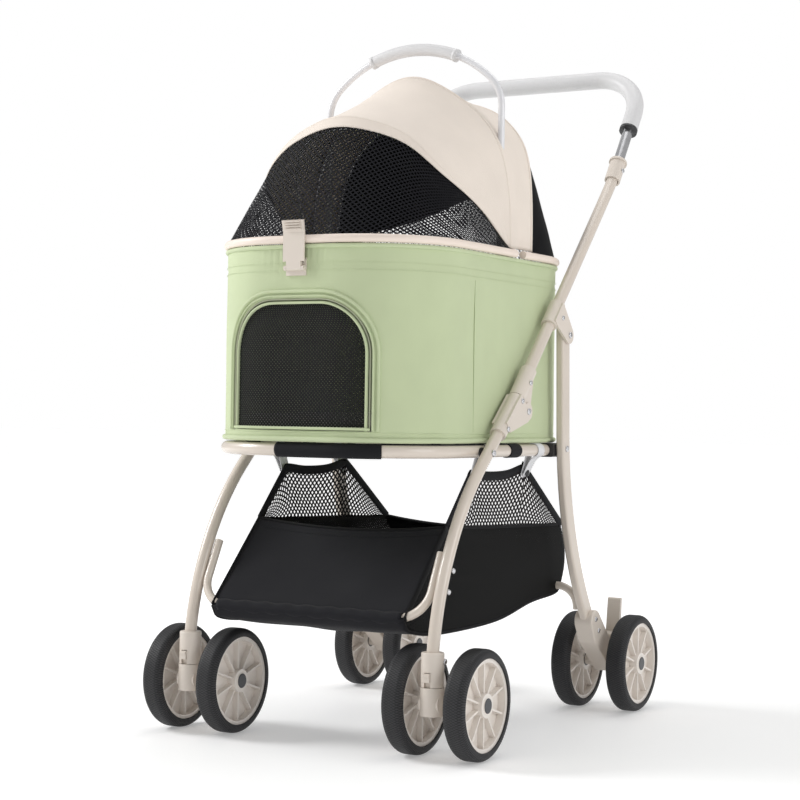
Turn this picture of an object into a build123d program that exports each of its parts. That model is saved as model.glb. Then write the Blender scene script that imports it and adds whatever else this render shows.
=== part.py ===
from build123d import *
import math
import os

# Pet stroller: a folding frame on four pairs of wheels, with a lift-off pet carrier on its ring.
# Millimetres.  +X is the stroller's left side, -Y is forward, +Z is up, and the ground is Z = 0.
# Everything is laid out along Y from one datum, and moved at the end by ORIGIN_Y, which puts the
# origin on the ground below the middle of the stroller's overall length.

SIDES = (("L", 1), ("R", -1))

# ---------------------------------------------------------------- driving dimensions
# Wheels
TYRE_RADIUS = 75.0
TYRE_WIDTH = 31.0
TYRE_SHOULDER = 9.0
RIM_RADIUS = 62.8
RIM_BAND = 5.5
RIM_WIDTH = 26.0
HUB_RADIUS = 16.5
HUB_LENGTH = 30.0
WEB_THICKNESS = 3.0
SPOKE_COUNT = 10
SPOKE_WIDTH = 2.6
CAP_RADIUS = 10.5
CAP_THICKNESS = 2.0
PAIR_SPACING = 93.0
AXLE_RADIUS = 4.0
RUNNING_FIT = 0.05

# Wheelbase and track
FRONT_AXLE_Y = -312.0
REAR_AXLE_Y = 210.5
CASTER_TRAIL = 40.5
LEG_X = 198.0
REAR_LEG_X = 200.0

# Frame tubes
LEG_TUBE_RADIUS = 8.5
HANDLE_TUBE_RADIUS = 8.75
PUSH_TUBE_RADIUS = 8.3
TUBE_WALL = 1.2
REAR_LEG_WIDTH = 13.0
REAR_LEG_DEPTH = 25.0
REAR_LEG_CORNER = 4.0
BASKET_BAR_RADIUS = 6.0

# Front leg, in the side plane: vertical angle at the caster, then an arc, then straight
CASTER_TOP_Z = 146.0
LEG_BOTTOM_ANGLE = 82.0
LEG_TOP_ANGLE = 42.0
LEG_BEND_RADIUS = 400.0
LEG_STRAIGHT = 146.0

# Rear leg: straight down from its top, an arc, then straight into the wheel housing
REAR_LEG_TOP_Z = 595.0
REAR_LEG_BEND_Z = 430.0
REAR_LEG_BEND_Y = 41.0
REAR_LEG_TOP_ANGLE = 2.0
REAR_LEG_BOTTOM_ANGLE = 32.0
REAR_LEG_BEND_RADIUS = 500.0
REAR_LEG_END_Z = 122.0

# Handle
HANDLE_ANGLE = 46.6
HANDLE_LENGTH = 460.0
HANDLE_BEND_ANGLE = 8.4
HANDLE_BEND_RADIUS = 300.0
PUSH_BAR_HEIGHT = 1024.0
PUSH_CORNER_RADIUS = 85.0
GRIP_RADIUS = 13.8
GRIP_START = 86.0
COLLAR_LENGTH = 42.0
COLLAR_RADIUS = 12.5
COLLAR_FLANGE = 14.5

# Folding linkage: pivots of the four-bar, and its folded angles
RING_PIVOT_Z = 408.0
REAR_PIVOT_Z = 412.0
HINGE_OFFSET = 24.5
TOP_PIVOT_OFFSET = 43.6
TOP_PIVOT_ALONG = 176.0
FOLD_ANGLE = 90.0
PIVOT_BOLT_RADIUS = 3.0

# Brackets
SLEEVE_RADIUS = 12.0
LUG_RADIUS = 13.0
TONGUE_RADIUS = 11.3
LUG_PLATE = 4.0
SCREW_RADIUS = 2.0
SCREW_HEAD_RADIUS = 3.9
SCREW_HEAD_HEIGHT = 2.2

# Seat ring and carrier, in plan
RING_Z = 410.0
RING_TUBE_RADIUS = 9.0
RING_HALF_WIDTH = 178.0
CARRIER_FRONT_Y = -393.0
CARRIER_REAR_Y = 154.0
CARRIER_HALF_WIDTH = 180.0
CORNER_RADIUS = 137.0
RING_INSET = 7.0
RING_CORNER_RADIUS = 130.0
TUB_BOTTOM_Z = 421.0
TUB_TOP_Z = 690.0
TUB_WALL = 5.0
BOARD_THICKNESS = 6.0
CUSHION_THICKNESS = 34.0
RIM_TUBE_RADIUS = 5.8
SOFT_CLEARANCE = 0.3

# Door in the tub's front
DOOR_HALF_WIDTH = 112.0
DOOR_HEIGHT = 178.0
DOOR_SILL = 16.0
DOOR_CORNER = 75.0
DOOR_THICKNESS = 2.4

# Canopy: bows turn about one axis across the tub's rim
BOW_PIVOT_Y = -78.0
BOW_PIVOT_Z = 700.0
BOW_HALF_WIDTH = 171.0
BOW_HEIGHT = 267.0
BOW_RADIUS = 2.5
FRONT_BOW_INSET = 7.5
BOW_TRIM = 16.0
MIDDLE_BOW_ANGLE = 95.0
REAR_BOW_ANGLE = 68.0
FRONT_BOW_ANGLE = 141.0
FRONT_BOW_TRAVEL = 33.0
LID_TRAVEL = 75.0
FABRIC = 2.0
CANOPY_STEP = 15.0

# Carry hoop
HOOP_TOP_Z = 1010.0
HOOP_HALF_WIDTH = 148.5
HOOP_CROWN_RADIUS = 190.0
HOOP_SHOULDER_ANGLE = 43.0
HOOP_TRAVEL = 6.0
HOOP_RADIUS = 5.0
HOOP_GRIP_RADIUS = 8.8
HOOP_GRIP_LENGTH = 150.0
SLIT_MARGIN = 2.4

# Under-seat basket
BASKET_HALF_WIDTH = 156.0
BASKET_WALL = 3.0
FRONT_BAR_Z = 187.0
FRONT_BAR_Y = -350.0
REAR_BAR_Z = 198.0
REAR_BAR_Y = 120.0
BAR_CORNER = 42.0
REAR_BAR_CORNER = 28.0
LOOP_YS = (-171.0, -8.0)
LOOP_WIDTH = 20.0
LOOP_THICKNESS = 1.6

# ---------------------------------------------------------------- brackets, casters and soft parts
LOWER_SLEEVE = 77.0
UPPER_SLEEVE = 57.0
SLEEVE_GAP = 1.6
KNEE_GAP = 0.6
SLOT_ROOM = 5.5
LEG_BRACKET_START = 152.0
LEG_BRACKET_LENGTH = 44.0
CASTER_JOINT_Z = 100.0
CASTER_HOUSING_RADIUS = 15.5
CASTER_FORK_RADIUS = 16.5
FORK_WIDTH = 29.0
STEM_RADIUS = 6.0
LOCK_TRAVEL = 5.0
PEDAL_PRESS = 22.0
HOUSING_WIDTH = 30.0
PEDAL_WIDTH = 22.0
STRAP_YS = (-240.0, -90.0)
STRAP_WIDTH = 34.0
BASKET_HANG_Z = 388.0
BASKET_BOTTOM_Z = 162.0
BASKET_HEM_Y = -242.0
BASKET_HEM_Z = 306.0
RIM_END_GAP = 12.0
EAR_RADIUS = 6.5
PIVOT_PIN_RADIUS = 3.0
LID_EAR_X = (168.8, 172.0)
BOW_EAR_X = (161.5, 166.0)
PIVOT_PLATE_X = (155.6, 160.9)
LATCH_WIDTH = 34.0
LATCH_TRAVEL = 100.0


# ---------------------------------------------------------------- side-plane geometry
def heading(angle):
    """Unit vector (y, z) at an angle above the rearward direction."""
    return math.cos(math.radians(angle)), math.sin(math.radians(angle))


def along(point, angle, distance):
    """The point a distance further on, in the side plane."""
    dy, dz = heading(angle)
    return point[0] + dy * distance, point[1] + dz * distance


def turned(point, centre, angle):
    """A side-plane point turned about a centre; a positive angle lifts what lies to the rear."""
    c, s = heading(angle)
    dy, dz = point[0] - centre[0], point[1] - centre[1]
    return centre[0] + c * dy - s * dz, centre[1] + s * dy + c * dz


def angle_between(a, b):
    return math.degrees(math.atan2(b[1] - a[1], b[0] - a[0]))


CASTER_Y = FRONT_AXLE_Y - CASTER_TRAIL
LEG_FOOT = (CASTER_Y, CASTER_TOP_Z)
LEG_BEND_END = (
    LEG_FOOT[0] + LEG_BEND_RADIUS * (heading(LEG_BOTTOM_ANGLE)[1] - heading(LEG_TOP_ANGLE)[1]),
    LEG_FOOT[1] + LEG_BEND_RADIUS * (heading(LEG_TOP_ANGLE)[0] - heading(LEG_BOTTOM_ANGLE)[0]),
)
LEG_TOP = along(LEG_BEND_END, LEG_TOP_ANGLE, LEG_STRAIGHT)
RING_PIVOT = along(
    LEG_BEND_END, LEG_TOP_ANGLE, (RING_PIVOT_Z - LEG_BEND_END[1]) / heading(LEG_TOP_ANGLE)[1]
)
FOLD_HINGE = along(LEG_TOP, LEG_TOP_ANGLE - 90, HINGE_OFFSET)

HANDLE_FOOT = LEG_TOP
HANDLE_BEND_START = along(HANDLE_FOOT, HANDLE_ANGLE, HANDLE_LENGTH)
TOP_PIVOT = along(
    along(HANDLE_FOOT, HANDLE_ANGLE, TOP_PIVOT_ALONG), HANDLE_ANGLE - 90, TOP_PIVOT_OFFSET
)
PUSH_ANGLE = HANDLE_ANGLE + HANDLE_BEND_ANGLE
HANDLE_BEND_END = (
    HANDLE_BEND_START[0] + HANDLE_BEND_RADIUS * (heading(PUSH_ANGLE)[1] - heading(HANDLE_ANGLE)[1]),
    HANDLE_BEND_START[1] + HANDLE_BEND_RADIUS * (heading(HANDLE_ANGLE)[0] - heading(PUSH_ANGLE)[0]),
)
PUSH_LENGTH = (PUSH_BAR_HEIGHT - HANDLE_BEND_END[1]) / heading(PUSH_ANGLE)[1]
PUSH_TOP = along(HANDLE_BEND_END, PUSH_ANGLE, PUSH_LENGTH)

REAR_BEND_GAIN_Y = REAR_LEG_BEND_RADIUS * (heading(REAR_LEG_TOP_ANGLE)[0] - heading(REAR_LEG_BOTTOM_ANGLE)[0])
REAR_BEND_GAIN_Z = REAR_LEG_BEND_RADIUS * (heading(REAR_LEG_BOTTOM_ANGLE)[1] - heading(REAR_LEG_TOP_ANGLE)[1])
REAR_LEG_LEAN = math.tan(math.radians(REAR_LEG_TOP_ANGLE))
REAR_LEG_TOP = (REAR_LEG_BEND_Y - (REAR_LEG_TOP_Z - REAR_LEG_BEND_Z) * REAR_LEG_LEAN, REAR_LEG_TOP_Z)
REAR_LEG_BEND = (REAR_LEG_BEND_Y, REAR_LEG_BEND_Z)
REAR_BEND_END = (REAR_LEG_BEND_Y + REAR_BEND_GAIN_Y, REAR_LEG_BEND_Z - REAR_BEND_GAIN_Z)
REAR_LEG_END = (
    REAR_BEND_END[0] + (REAR_BEND_END[1] - REAR_LEG_END_Z) * math.tan(math.radians(REAR_LEG_BOTTOM_ANGLE)),
    REAR_LEG_END_Z,
)
REAR_PIVOT = (REAR_LEG_BEND_Y, REAR_PIVOT_Z)
FRONT_AXLE = (FRONT_AXLE_Y, TYRE_RADIUS)
REAR_AXLE = (REAR_AXLE_Y, TYRE_RADIUS)


def folded_link_angles(front_angle):
    """How far the handle and the rear leg turn when the front leg has turned by front_angle."""
    hinge = turned(FOLD_HINGE, RING_PIVOT, front_angle)
    handle_link = math.dist(FOLD_HINGE, TOP_PIVOT)
    rear_link = math.dist(REAR_PIVOT, TOP_PIVOT)
    span = math.dist(hinge, REAR_PIVOT)
    corner = (handle_link ** 2 - rear_link ** 2 + span ** 2) / (2 * handle_link * span)
    up = angle_between(hinge, REAR_PIVOT) + math.degrees(math.acos(corner))
    top = along(hinge, up, handle_link)
    handle_turn = up - angle_between(FOLD_HINGE, TOP_PIVOT)
    rear_turn = angle_between(REAR_PIVOT, top) - angle_between(REAR_PIVOT, TOP_PIVOT)
    return handle_turn, rear_turn


HANDLE_TURN, REAR_TURN = folded_link_angles(FOLD_ANGLE)


# ---------------------------------------------------------------- shared shapes
def side_point(point, x=0.0):
    return Vector(x, point[0], point[1])


def side_cylinder(point, radius, x_from, x_to):
    """A cylinder along X, through a side-plane point."""
    length = x_to - x_from
    plane = Plane(origin=(x_from, point[0], point[1]), z_dir=(1, 0, 0))
    return extrude(plane * Circle(radius), length)


def section_at(path, sketch):
    """A sketch placed square to the start of a path."""
    return Plane(origin=path @ 0, z_dir=path % 0) * sketch


def tube(path, radius, wall=TUBE_WALL):
    """A round tube along a path, open at both ends."""
    outer = sweep(section_at(path, Circle(radius)), path=path)
    if wall is None:
        return outer
    return outer - sweep(section_at(path, Circle(radius - wall)), path=path)


def mirrored(shape, side):
    """The shape as made for the left side, or its mirror image for the right."""
    return shape if side > 0 else mirror(shape, about=Plane.YZ)


def side_screw(point, x_face, depth):
    """A round-headed screw that goes in from the outer side; its head rests on x_face."""
    head = side_cylinder(point, SCREW_HEAD_RADIUS, x_face, x_face + SCREW_HEAD_HEIGHT)
    head = fillet(head.edges().sort_by(Axis.X)[-1], SCREW_HEAD_HEIGHT * 0.8)
    return head + side_cylinder(point, SCREW_RADIUS, x_face - depth, x_face)


def screw_hole(point, x_face, depth):
    return side_cylinder(point, SCREW_RADIUS + RUNNING_FIT, x_face - depth - 0.5, x_face + 5)


def rounded_plan(half_width, front_y, rear_y, corner, grow=0.0):
    """A rounded rectangle in plan, as the ring and the carrier are, grown outwards by grow."""
    sketch = RectangleRounded(
        2 * (half_width + grow), rear_y - front_y + 2 * grow, corner + grow
    )
    return Pos(0, (front_y + rear_y) / 2, 0) * sketch


def plan_edge(half_width, front_y, rear_y, corner, z, grow=0.0):
    plan = rounded_plan(half_width, front_y, rear_y, corner, grow)
    return Pos(0, 0, z) * plan.face().outer_wire()


def leaning(y, z, angle):
    """The plane of a bow whose foot is at (y, z) and whose top leans to angle."""
    return Plane(origin=(0, y, z), x_dir=(1, 0, 0), z_dir=(0, -heading(angle)[1], heading(angle)[0]))


def arch_path(half_width, height, y, z, angle):
    """A bow's centre line: two flank arcs and a crown arc, in a plane that leans by angle."""
    join = 57.0
    c, s = heading(join)
    flank = (height - half_width * (1 - c) / s) / (c - (1 - c) * (1 - s) / s)
    crown = (half_width - flank * (1 - s)) / s
    points = []
    for side in (-1, 1):
        foot = (side * half_width, 0)
        shoulder = (side * crown * s, height - crown * (1 - c))
        mid_turn = (90 + join) / 2
        mid = (
            side * (half_width - flank * (1 - heading(mid_turn)[1])),
            flank * heading(mid_turn)[0],
        )
        points.append((foot, mid, shoulder))
    (lf, lm, ls), (rf, rm, rs) = points
    line = Wire([
        ThreePointArc(lf, lm, ls).edge(),
        ThreePointArc(ls, (0, height), rs).edge(),
        ThreePointArc(rs, rm, rf).edge(),
    ])
    return leaning(y, z, angle) * line


# ---------------------------------------------------------------- wheels
def wheel_parts():
    """One wheel, its axis on X through the origin: tyre, hub, and the hub's cap."""
    band = Rectangle(TYRE_WIDTH, TYRE_RADIUS - RIM_RADIUS - RUNNING_FIT)
    band = Pos(0, (TYRE_RADIUS + RIM_RADIUS + RUNNING_FIT) / 2) * band
    crown = fillet(band.vertices().group_by(Axis.Y)[-1], TYRE_SHOULDER)
    tyre = revolve(crown, Axis.X)

    rim = Pos(0, RIM_RADIUS - RIM_BAND / 2) * Rectangle(RIM_WIDTH, RIM_BAND)
    web = Pos(0, (RIM_RADIUS + AXLE_RADIUS) / 2) * Rectangle(WEB_THICKNESS, RIM_RADIUS - AXLE_RADIUS - 1)
    boss_height = HUB_RADIUS - AXLE_RADIUS - RUNNING_FIT
    boss = Pos(0, AXLE_RADIUS + RUNNING_FIT + boss_height / 2) * Rectangle(HUB_LENGTH, boss_height)
    hub = revolve(rim + web + boss, Axis.X)
    spoke_length = RIM_RADIUS - RIM_BAND - HUB_RADIUS + 2
    spoke = Pos(0, 0, HUB_RADIUS - 1 + spoke_length / 2) * Box(RIM_WIDTH - 6, SPOKE_WIDTH, spoke_length)
    for i in range(SPOKE_COUNT):
        hub += Rot(X=360 / SPOKE_COUNT * i) * spoke
    cap = side_cylinder((0, 0), CAP_RADIUS, HUB_LENGTH / 2, HUB_LENGTH / 2 + CAP_THICKNESS)
    cap = fillet(cap.edges().sort_by(Axis.X)[-1], CAP_THICKNESS * 0.8)
    return tyre, hub, cap


def wheel_at(wheel, x, axle, outward):
    """A wheel's pieces placed at x on an axle, with its cap facing outwards."""
    turn = Pos(x, axle[0], axle[1]) * (Rot(Z=0) if outward > 0 else Rot(Z=180))
    tyre, hub, cap = (turn * piece for piece in wheel)
    return tyre, Compound(children=[hub.solid(), cap.solid()])


def axle_rod(centre_x, axle):
    reach = PAIR_SPACING / 2 + HUB_LENGTH / 2 - 1
    return side_cylinder(axle, AXLE_RADIUS, centre_x - reach, centre_x + reach)


# ---------------------------------------------------------------- frame
def slab(sketch, x_from, x_to):
    """A flat plate: a side-plane outline given thickness along X."""
    return Pos(x_from, 0, 0) * extrude(Plane.YZ * sketch, x_to - x_from, dir=(1, 0, 0))


def circle_at(point, radius):
    return Pos(point[0], point[1]) * Circle(radius)


def hull_of(*circles):
    """The outline around several circles, each (point, radius), as a belt would lie."""
    edges = [e for point, radius in circles for e in circle_at(point, radius).edges()]
    return make_hull(edges)


def oblong(point, angle, length, width):
    """A rectangle that starts at a point and runs along a heading."""
    return Pos(point[0], point[1]) * Rot(Z=angle) * Pos(length / 2, 0) * Rectangle(length, width)


def straight_tube(point, angle, length, radius, x=LEG_X):
    dy, dz = heading(angle)
    plane = Plane(origin=(x, point[0], point[1]), x_dir=(1, 0, 0), z_dir=(0, dy, dz))
    return extrude(plane * Circle(radius), length)


def arc_mid(start, angle_start, angle_end, radius):
    """The middle of an arc that bends towards the rear, from one heading to a flatter one."""
    a, b = heading(angle_start), heading((angle_start + angle_end) / 2)
    return start[0] + radius * (a[1] - b[1]), start[1] + radius * (b[0] - a[0])


def leg_path(extra_foot=18.0):
    foot = along(LEG_FOOT, LEG_BOTTOM_ANGLE + 180, extra_foot)
    mid = arc_mid(LEG_FOOT, LEG_BOTTOM_ANGLE, LEG_TOP_ANGLE, LEG_BEND_RADIUS)
    return Wire([
        Line(side_point(foot, LEG_X), side_point(LEG_FOOT, LEG_X)).edge(),
        ThreePointArc(*(side_point(p, LEG_X) for p in (LEG_FOOT, mid, LEG_BEND_END))).edge(),
        Line(side_point(LEG_BEND_END, LEG_X), side_point(LEG_TOP, LEG_X)).edge(),
    ])


def rear_leg_path():
    half = (REAR_LEG_TOP_ANGLE + REAR_LEG_BOTTOM_ANGLE) / 2
    mid = (
        REAR_LEG_BEND[0] + REAR_LEG_BEND_RADIUS * (heading(REAR_LEG_TOP_ANGLE)[0] - heading(half)[0]),
        REAR_LEG_BEND[1] - REAR_LEG_BEND_RADIUS * (heading(half)[1] - heading(REAR_LEG_TOP_ANGLE)[1]),
    )
    return Wire([
        Line(side_point(REAR_LEG_TOP, REAR_LEG_X), side_point(REAR_LEG_BEND, REAR_LEG_X)).edge(),
        ThreePointArc(*(side_point(p, REAR_LEG_X) for p in (REAR_LEG_BEND, mid, REAR_BEND_END))).edge(),
        Line(side_point(REAR_BEND_END, REAR_LEG_X), side_point(REAR_LEG_END, REAR_LEG_X)).edge(),
    ])


def rear_leg_solid(grow=0.0, hollow=True):
    path = rear_leg_path()
    plane = Plane(origin=path @ 0, x_dir=(1, 0, 0), z_dir=path % 0)
    width, depth = REAR_LEG_WIDTH + 2 * grow, REAR_LEG_DEPTH + 2 * grow
    leg = sweep(plane * RectangleRounded(width, depth, REAR_LEG_CORNER + grow), path=path)
    if hollow:
        inner = RectangleRounded(width - 2 * TUBE_WALL, depth - 2 * TUBE_WALL, REAR_LEG_CORNER - TUBE_WALL)
        leg -= sweep(plane * inner, path=path)
    return leg


LEG_FACE_X = LEG_X + LEG_TUBE_RADIUS
REAR_LEG_FACE_X = REAR_LEG_X + REAR_LEG_WIDTH / 2
BRACKET_FACE_X = LEG_X + SLEEVE_RADIUS
BOLT_HOLE = PIVOT_BOLT_RADIUS + RUNNING_FIT
RING_OUTER_X = RING_HALF_WIDTH + RING_TUBE_RADIUS
RING_INNER_X = RING_HALF_WIDTH - RING_TUBE_RADIUS

HOUSING_SCREW = (CASTER_Y + 5, CASTER_TOP_Z - 12)
LOWER_SCREWS = (along(LEG_TOP, LEG_TOP_ANGLE + 180, 5), along(LEG_TOP, LEG_TOP_ANGLE + 180, 65))
UPPER_SCREW = along(HANDLE_FOOT, HANDLE_ANGLE, 32)
LEG_BRACKET_SCREW = along(along(HANDLE_FOOT, HANDLE_ANGLE, TOP_PIVOT_ALONG), HANDLE_ANGLE - 90, 8)
LUG_X = REAR_LEG_FACE_X + 0.7
BAR_X = LEG_X - LEG_TUBE_RADIUS - BASKET_BAR_RADIUS - SOFT_CLEARANCE
REAR_BAR_X = REAR_LEG_X - REAR_LEG_WIDTH / 2 - BASKET_BAR_RADIUS - SOFT_CLEARANCE
FRONT_BAR_TOP = along(LEG_FOOT, 70, 136)
REAR_BAR_TOP = along(REAR_LEG_END, 90 + REAR_LEG_BOTTOM_ANGLE, 48.5)
BAR_SCREWS = (along(LEG_FOOT, 72, 82), along(LEG_FOOT, 70.5, 112))


def dome_bolt(point, x_face, x_end):
    """A pivot bolt: a round head on x_face and a shank that runs inwards to x_end."""
    head = side_cylinder(point, SCREW_HEAD_RADIUS + 1, x_face, x_face + SCREW_HEAD_HEIGHT + 0.6)
    head = fillet(head.edges().sort_by(Axis.X)[-1], SCREW_HEAD_HEIGHT)
    return head + side_cylinder(point, PIVOT_BOLT_RADIUS, x_end, x_face)


def pivot_hole(point, x_from, x_to):
    return side_cylinder(point, BOLT_HOLE, x_from, x_to)


def front_leg():
    leg = tube(leg_path(), LEG_TUBE_RADIUS)
    leg -= pivot_hole(RING_PIVOT, LEG_X - 15, LEG_X + 15)
    for point in LOWER_SCREWS + BAR_SCREWS:
        leg -= screw_hole(point, LEG_FACE_X, 2 * LEG_TUBE_RADIUS + 8)
    return leg


def lower_hinge_bracket():
    down = LEG_TOP_ANGLE + 180
    start = along(LEG_TOP, down, 0.2)
    sleeve = straight_tube(start, down, LOWER_SLEEVE, SLEEVE_RADIUS)
    beyond = oblong(along(FOLD_HINGE, down, 0.2), down, 34, 2 * LUG_RADIUS)
    waist = make_hull(
        oblong(along(LEG_TOP, down, 0.2), down, 62, 2 * SLEEVE_RADIUS - 6).edges()
        + circle_at(along(FOLD_HINGE, down, 8), LUG_RADIUS - 2).edges()
    )
    plate = waist + circle_at(FOLD_HINGE, LUG_RADIUS)
    inner, outer = LEG_X - SLEEVE_RADIUS, LEG_X + SLEEVE_RADIUS
    plates = slab(plate, inner, inner + LUG_PLATE) + slab(plate, outer - LUG_PLATE, outer)
    plates += slab(waist & beyond, inner, outer) - straight_tube(
        along(FOLD_HINGE, down, -25), down, 25 + TONGUE_RADIUS + SLOT_ROOM, 22
    )
    body = sleeve + plates
    body -= straight_tube(along(LEG_TOP, down, -2), down, LOWER_SLEEVE + 4, LEG_TUBE_RADIUS + RUNNING_FIT)
    body -= pivot_hole(FOLD_HINGE, inner - 1, outer + 1)
    for point in LOWER_SCREWS:
        body -= screw_hole(point, BRACKET_FACE_X, 2 * SLEEVE_RADIUS)
    return body


def upper_hinge_bracket():
    start = along(HANDLE_FOOT, HANDLE_ANGLE, SLEEVE_GAP)
    sleeve = straight_tube(start, HANDLE_ANGLE, UPPER_SLEEVE - SLEEVE_GAP, SLEEVE_RADIUS)
    reach = LEG_X - SLEEVE_RADIUS + LUG_PLATE + 0.3, LEG_X + SLEEVE_RADIUS - LUG_PLATE - 0.3
    wedge = make_hull(
        oblong(along(HANDLE_FOOT, HANDLE_ANGLE, SLEEVE_GAP), HANDLE_ANGLE, 48, 2 * SLEEVE_RADIUS - 6).edges()
        + circle_at(along(FOLD_HINGE, HANDLE_ANGLE, 8), TONGUE_RADIUS - 2).edges()
    )
    body = sleeve + slab(wedge + circle_at(FOLD_HINGE, TONGUE_RADIUS), *reach)
    bore = straight_tube(HANDLE_FOOT, HANDLE_ANGLE, UPPER_SLEEVE + 2, HANDLE_TUBE_RADIUS + RUNNING_FIT)
    body -= bore
    body -= pivot_hole(FOLD_HINGE, LEG_X - 20, LEG_X + 20)
    below = LEG_TOP_ANGLE + 180
    body -= straight_tube(along(LEG_TOP, below, -KNEE_GAP), below, LUG_RADIUS, SLEEVE_RADIUS + KNEE_GAP)
    return body - screw_hole(UPPER_SCREW, BRACKET_FACE_X, 2 * SLEEVE_RADIUS)


def leg_bracket():
    """The clip on the handle tube whose lug carries the top of the rear leg."""
    start = along(HANDLE_FOOT, HANDLE_ANGLE, LEG_BRACKET_START)
    body = straight_tube(start, HANDLE_ANGLE, LEG_BRACKET_LENGTH, SLEEVE_RADIUS)
    outline = make_hull(
        oblong(along(start, HANDLE_ANGLE, 3), HANDLE_ANGLE, LEG_BRACKET_LENGTH - 6, 14).edges()
        + circle_at(TOP_PIVOT, LUG_RADIUS).edges()
    )
    body += slab(outline, LUG_X, BRACKET_FACE_X + 1)
    body -= straight_tube(along(start, HANDLE_ANGLE, -1), HANDLE_ANGLE, LEG_BRACKET_LENGTH + 2,
                          HANDLE_TUBE_RADIUS + RUNNING_FIT)
    body -= pivot_hole(TOP_PIVOT, LUG_X - 1, BRACKET_FACE_X + 2)
    return body - screw_hole(LEG_BRACKET_SCREW, BRACKET_FACE_X + 1, 6)


def handle_tube():
    start = along(HANDLE_FOOT, HANDLE_ANGLE, SLEEVE_GAP)
    mid = (
        HANDLE_BEND_START[0]
        + HANDLE_BEND_RADIUS * (heading(HANDLE_ANGLE + HANDLE_BEND_ANGLE / 2)[1] - heading(HANDLE_ANGLE)[1]),
        HANDLE_BEND_START[1]
        + HANDLE_BEND_RADIUS * (heading(HANDLE_ANGLE)[0] - heading(HANDLE_ANGLE + HANDLE_BEND_ANGLE / 2)[0]),
    )
    path = Wire([
        Line(side_point(start, LEG_X), side_point(HANDLE_BEND_START, LEG_X)).edge(),
        ThreePointArc(*(side_point(p, LEG_X) for p in (HANDLE_BEND_START, mid, HANDLE_BEND_END))).edge(),
    ])
    body = tube(path, HANDLE_TUBE_RADIUS)
    body -= screw_hole(UPPER_SCREW, BRACKET_FACE_X, 2 * SLEEVE_RADIUS)
    return body - screw_hole(LEG_BRACKET_SCREW, BRACKET_FACE_X + 1, 6)


def push_path(start_distance):
    start = along(HANDLE_BEND_END, PUSH_ANGLE, start_distance)
    corners = [side_point(start, LEG_X), side_point(PUSH_TOP, LEG_X)]
    corners += [side_point(PUSH_TOP, -LEG_X), side_point(start, -LEG_X)]
    return FilletPolyline(*corners, radius=PUSH_CORNER_RADIUS).wire()


def grip_solid():
    path = push_path(GRIP_START)
    outer = sweep(section_at(path, Circle(GRIP_RADIUS)), path=path)
    return outer - sweep(section_at(path, Circle(PUSH_TUBE_RADIUS + RUNNING_FIT)), path=path)


def collar():
    lower = along(HANDLE_BEND_END, PUSH_ANGLE, -COLLAR_LENGTH / 2)
    body = straight_tube(lower, PUSH_ANGLE, COLLAR_LENGTH, COLLAR_RADIUS)
    flange = along(HANDLE_BEND_END, PUSH_ANGLE, COLLAR_LENGTH / 2 - 5)
    body += straight_tube(flange, PUSH_ANGLE, 5, COLLAR_FLANGE)
    body = fillet(body.edges().filter_by(GeomType.CIRCLE).sort_by(Axis.Z)[-1], 1.5)
    body -= tube_core()
    return body - screw_hole(HANDLE_BEND_END, LEG_X + COLLAR_RADIUS, 3.4)


def tube_core():
    """What the collar's bore is cut by: the handle tube below, and the push bar's end above."""
    below = along(HANDLE_BEND_END, PUSH_ANGLE, -COLLAR_LENGTH)
    above = along(HANDLE_BEND_END, PUSH_ANGLE, -1)
    return straight_tube(below, PUSH_ANGLE, COLLAR_LENGTH + 1, HANDLE_TUBE_RADIUS + 1.1) + straight_tube(
        above, PUSH_ANGLE, COLLAR_LENGTH, PUSH_TUBE_RADIUS + RUNNING_FIT
    )


def caster_housing():
    top = CASTER_TOP_Z
    post = Pos(LEG_X, CASTER_Y, (top + CASTER_JOINT_Z) / 2) * Cylinder(CASTER_HOUSING_RADIUS, top - CASTER_JOINT_Z)
    post = fillet(post.edges().filter_by(GeomType.CIRCLE).sort_by(Axis.Z)[-1], 2)
    socket = straight_tube(along(LEG_FOOT, LEG_BOTTOM_ANGLE + 180, 18.2), LEG_BOTTOM_ANGLE, 60,
                           LEG_TUBE_RADIUS + RUNNING_FIT)
    post -= socket
    post -= Pos(LEG_X, CASTER_Y, CASTER_JOINT_Z + 9.2) * Cylinder(STEM_RADIUS + RUNNING_FIT, 18.6)
    post -= Pos(LEG_X, CASTER_Y - CASTER_HOUSING_RADIUS, CASTER_JOINT_Z + 10) * Box(9.6, 9, 20.2)
    return post - screw_hole(HOUSING_SCREW, LEG_X + CASTER_HOUSING_RADIUS + 2, 12)


def caster_fork():
    """The swivelling half: a barrel on the stem, and an arm back to the axle between the wheels."""
    top = CASTER_JOINT_Z - 0.4
    barrel = Pos(LEG_X, CASTER_Y, (top + 62) / 2) * Cylinder(CASTER_FORK_RADIUS, top - 62)
    barrel += Pos(LEG_X, CASTER_Y, CASTER_JOINT_Z + 8) * Cylinder(STEM_RADIUS, 18)
    arm = hull_of(((CASTER_Y + 2, 78), 14), (FRONT_AXLE, 15))
    barrel += slab(arm, LEG_X - FORK_WIDTH / 2, LEG_X + FORK_WIDTH / 2)
    reach = PAIR_SPACING / 2 - HUB_LENGTH / 2 - 0.3
    barrel += side_cylinder(FRONT_AXLE, 8.5, LEG_X - reach, LEG_X + reach)
    return barrel - side_cylinder(FRONT_AXLE, AXLE_RADIUS + RUNNING_FIT, LEG_X - 60, LEG_X + 60)


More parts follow.
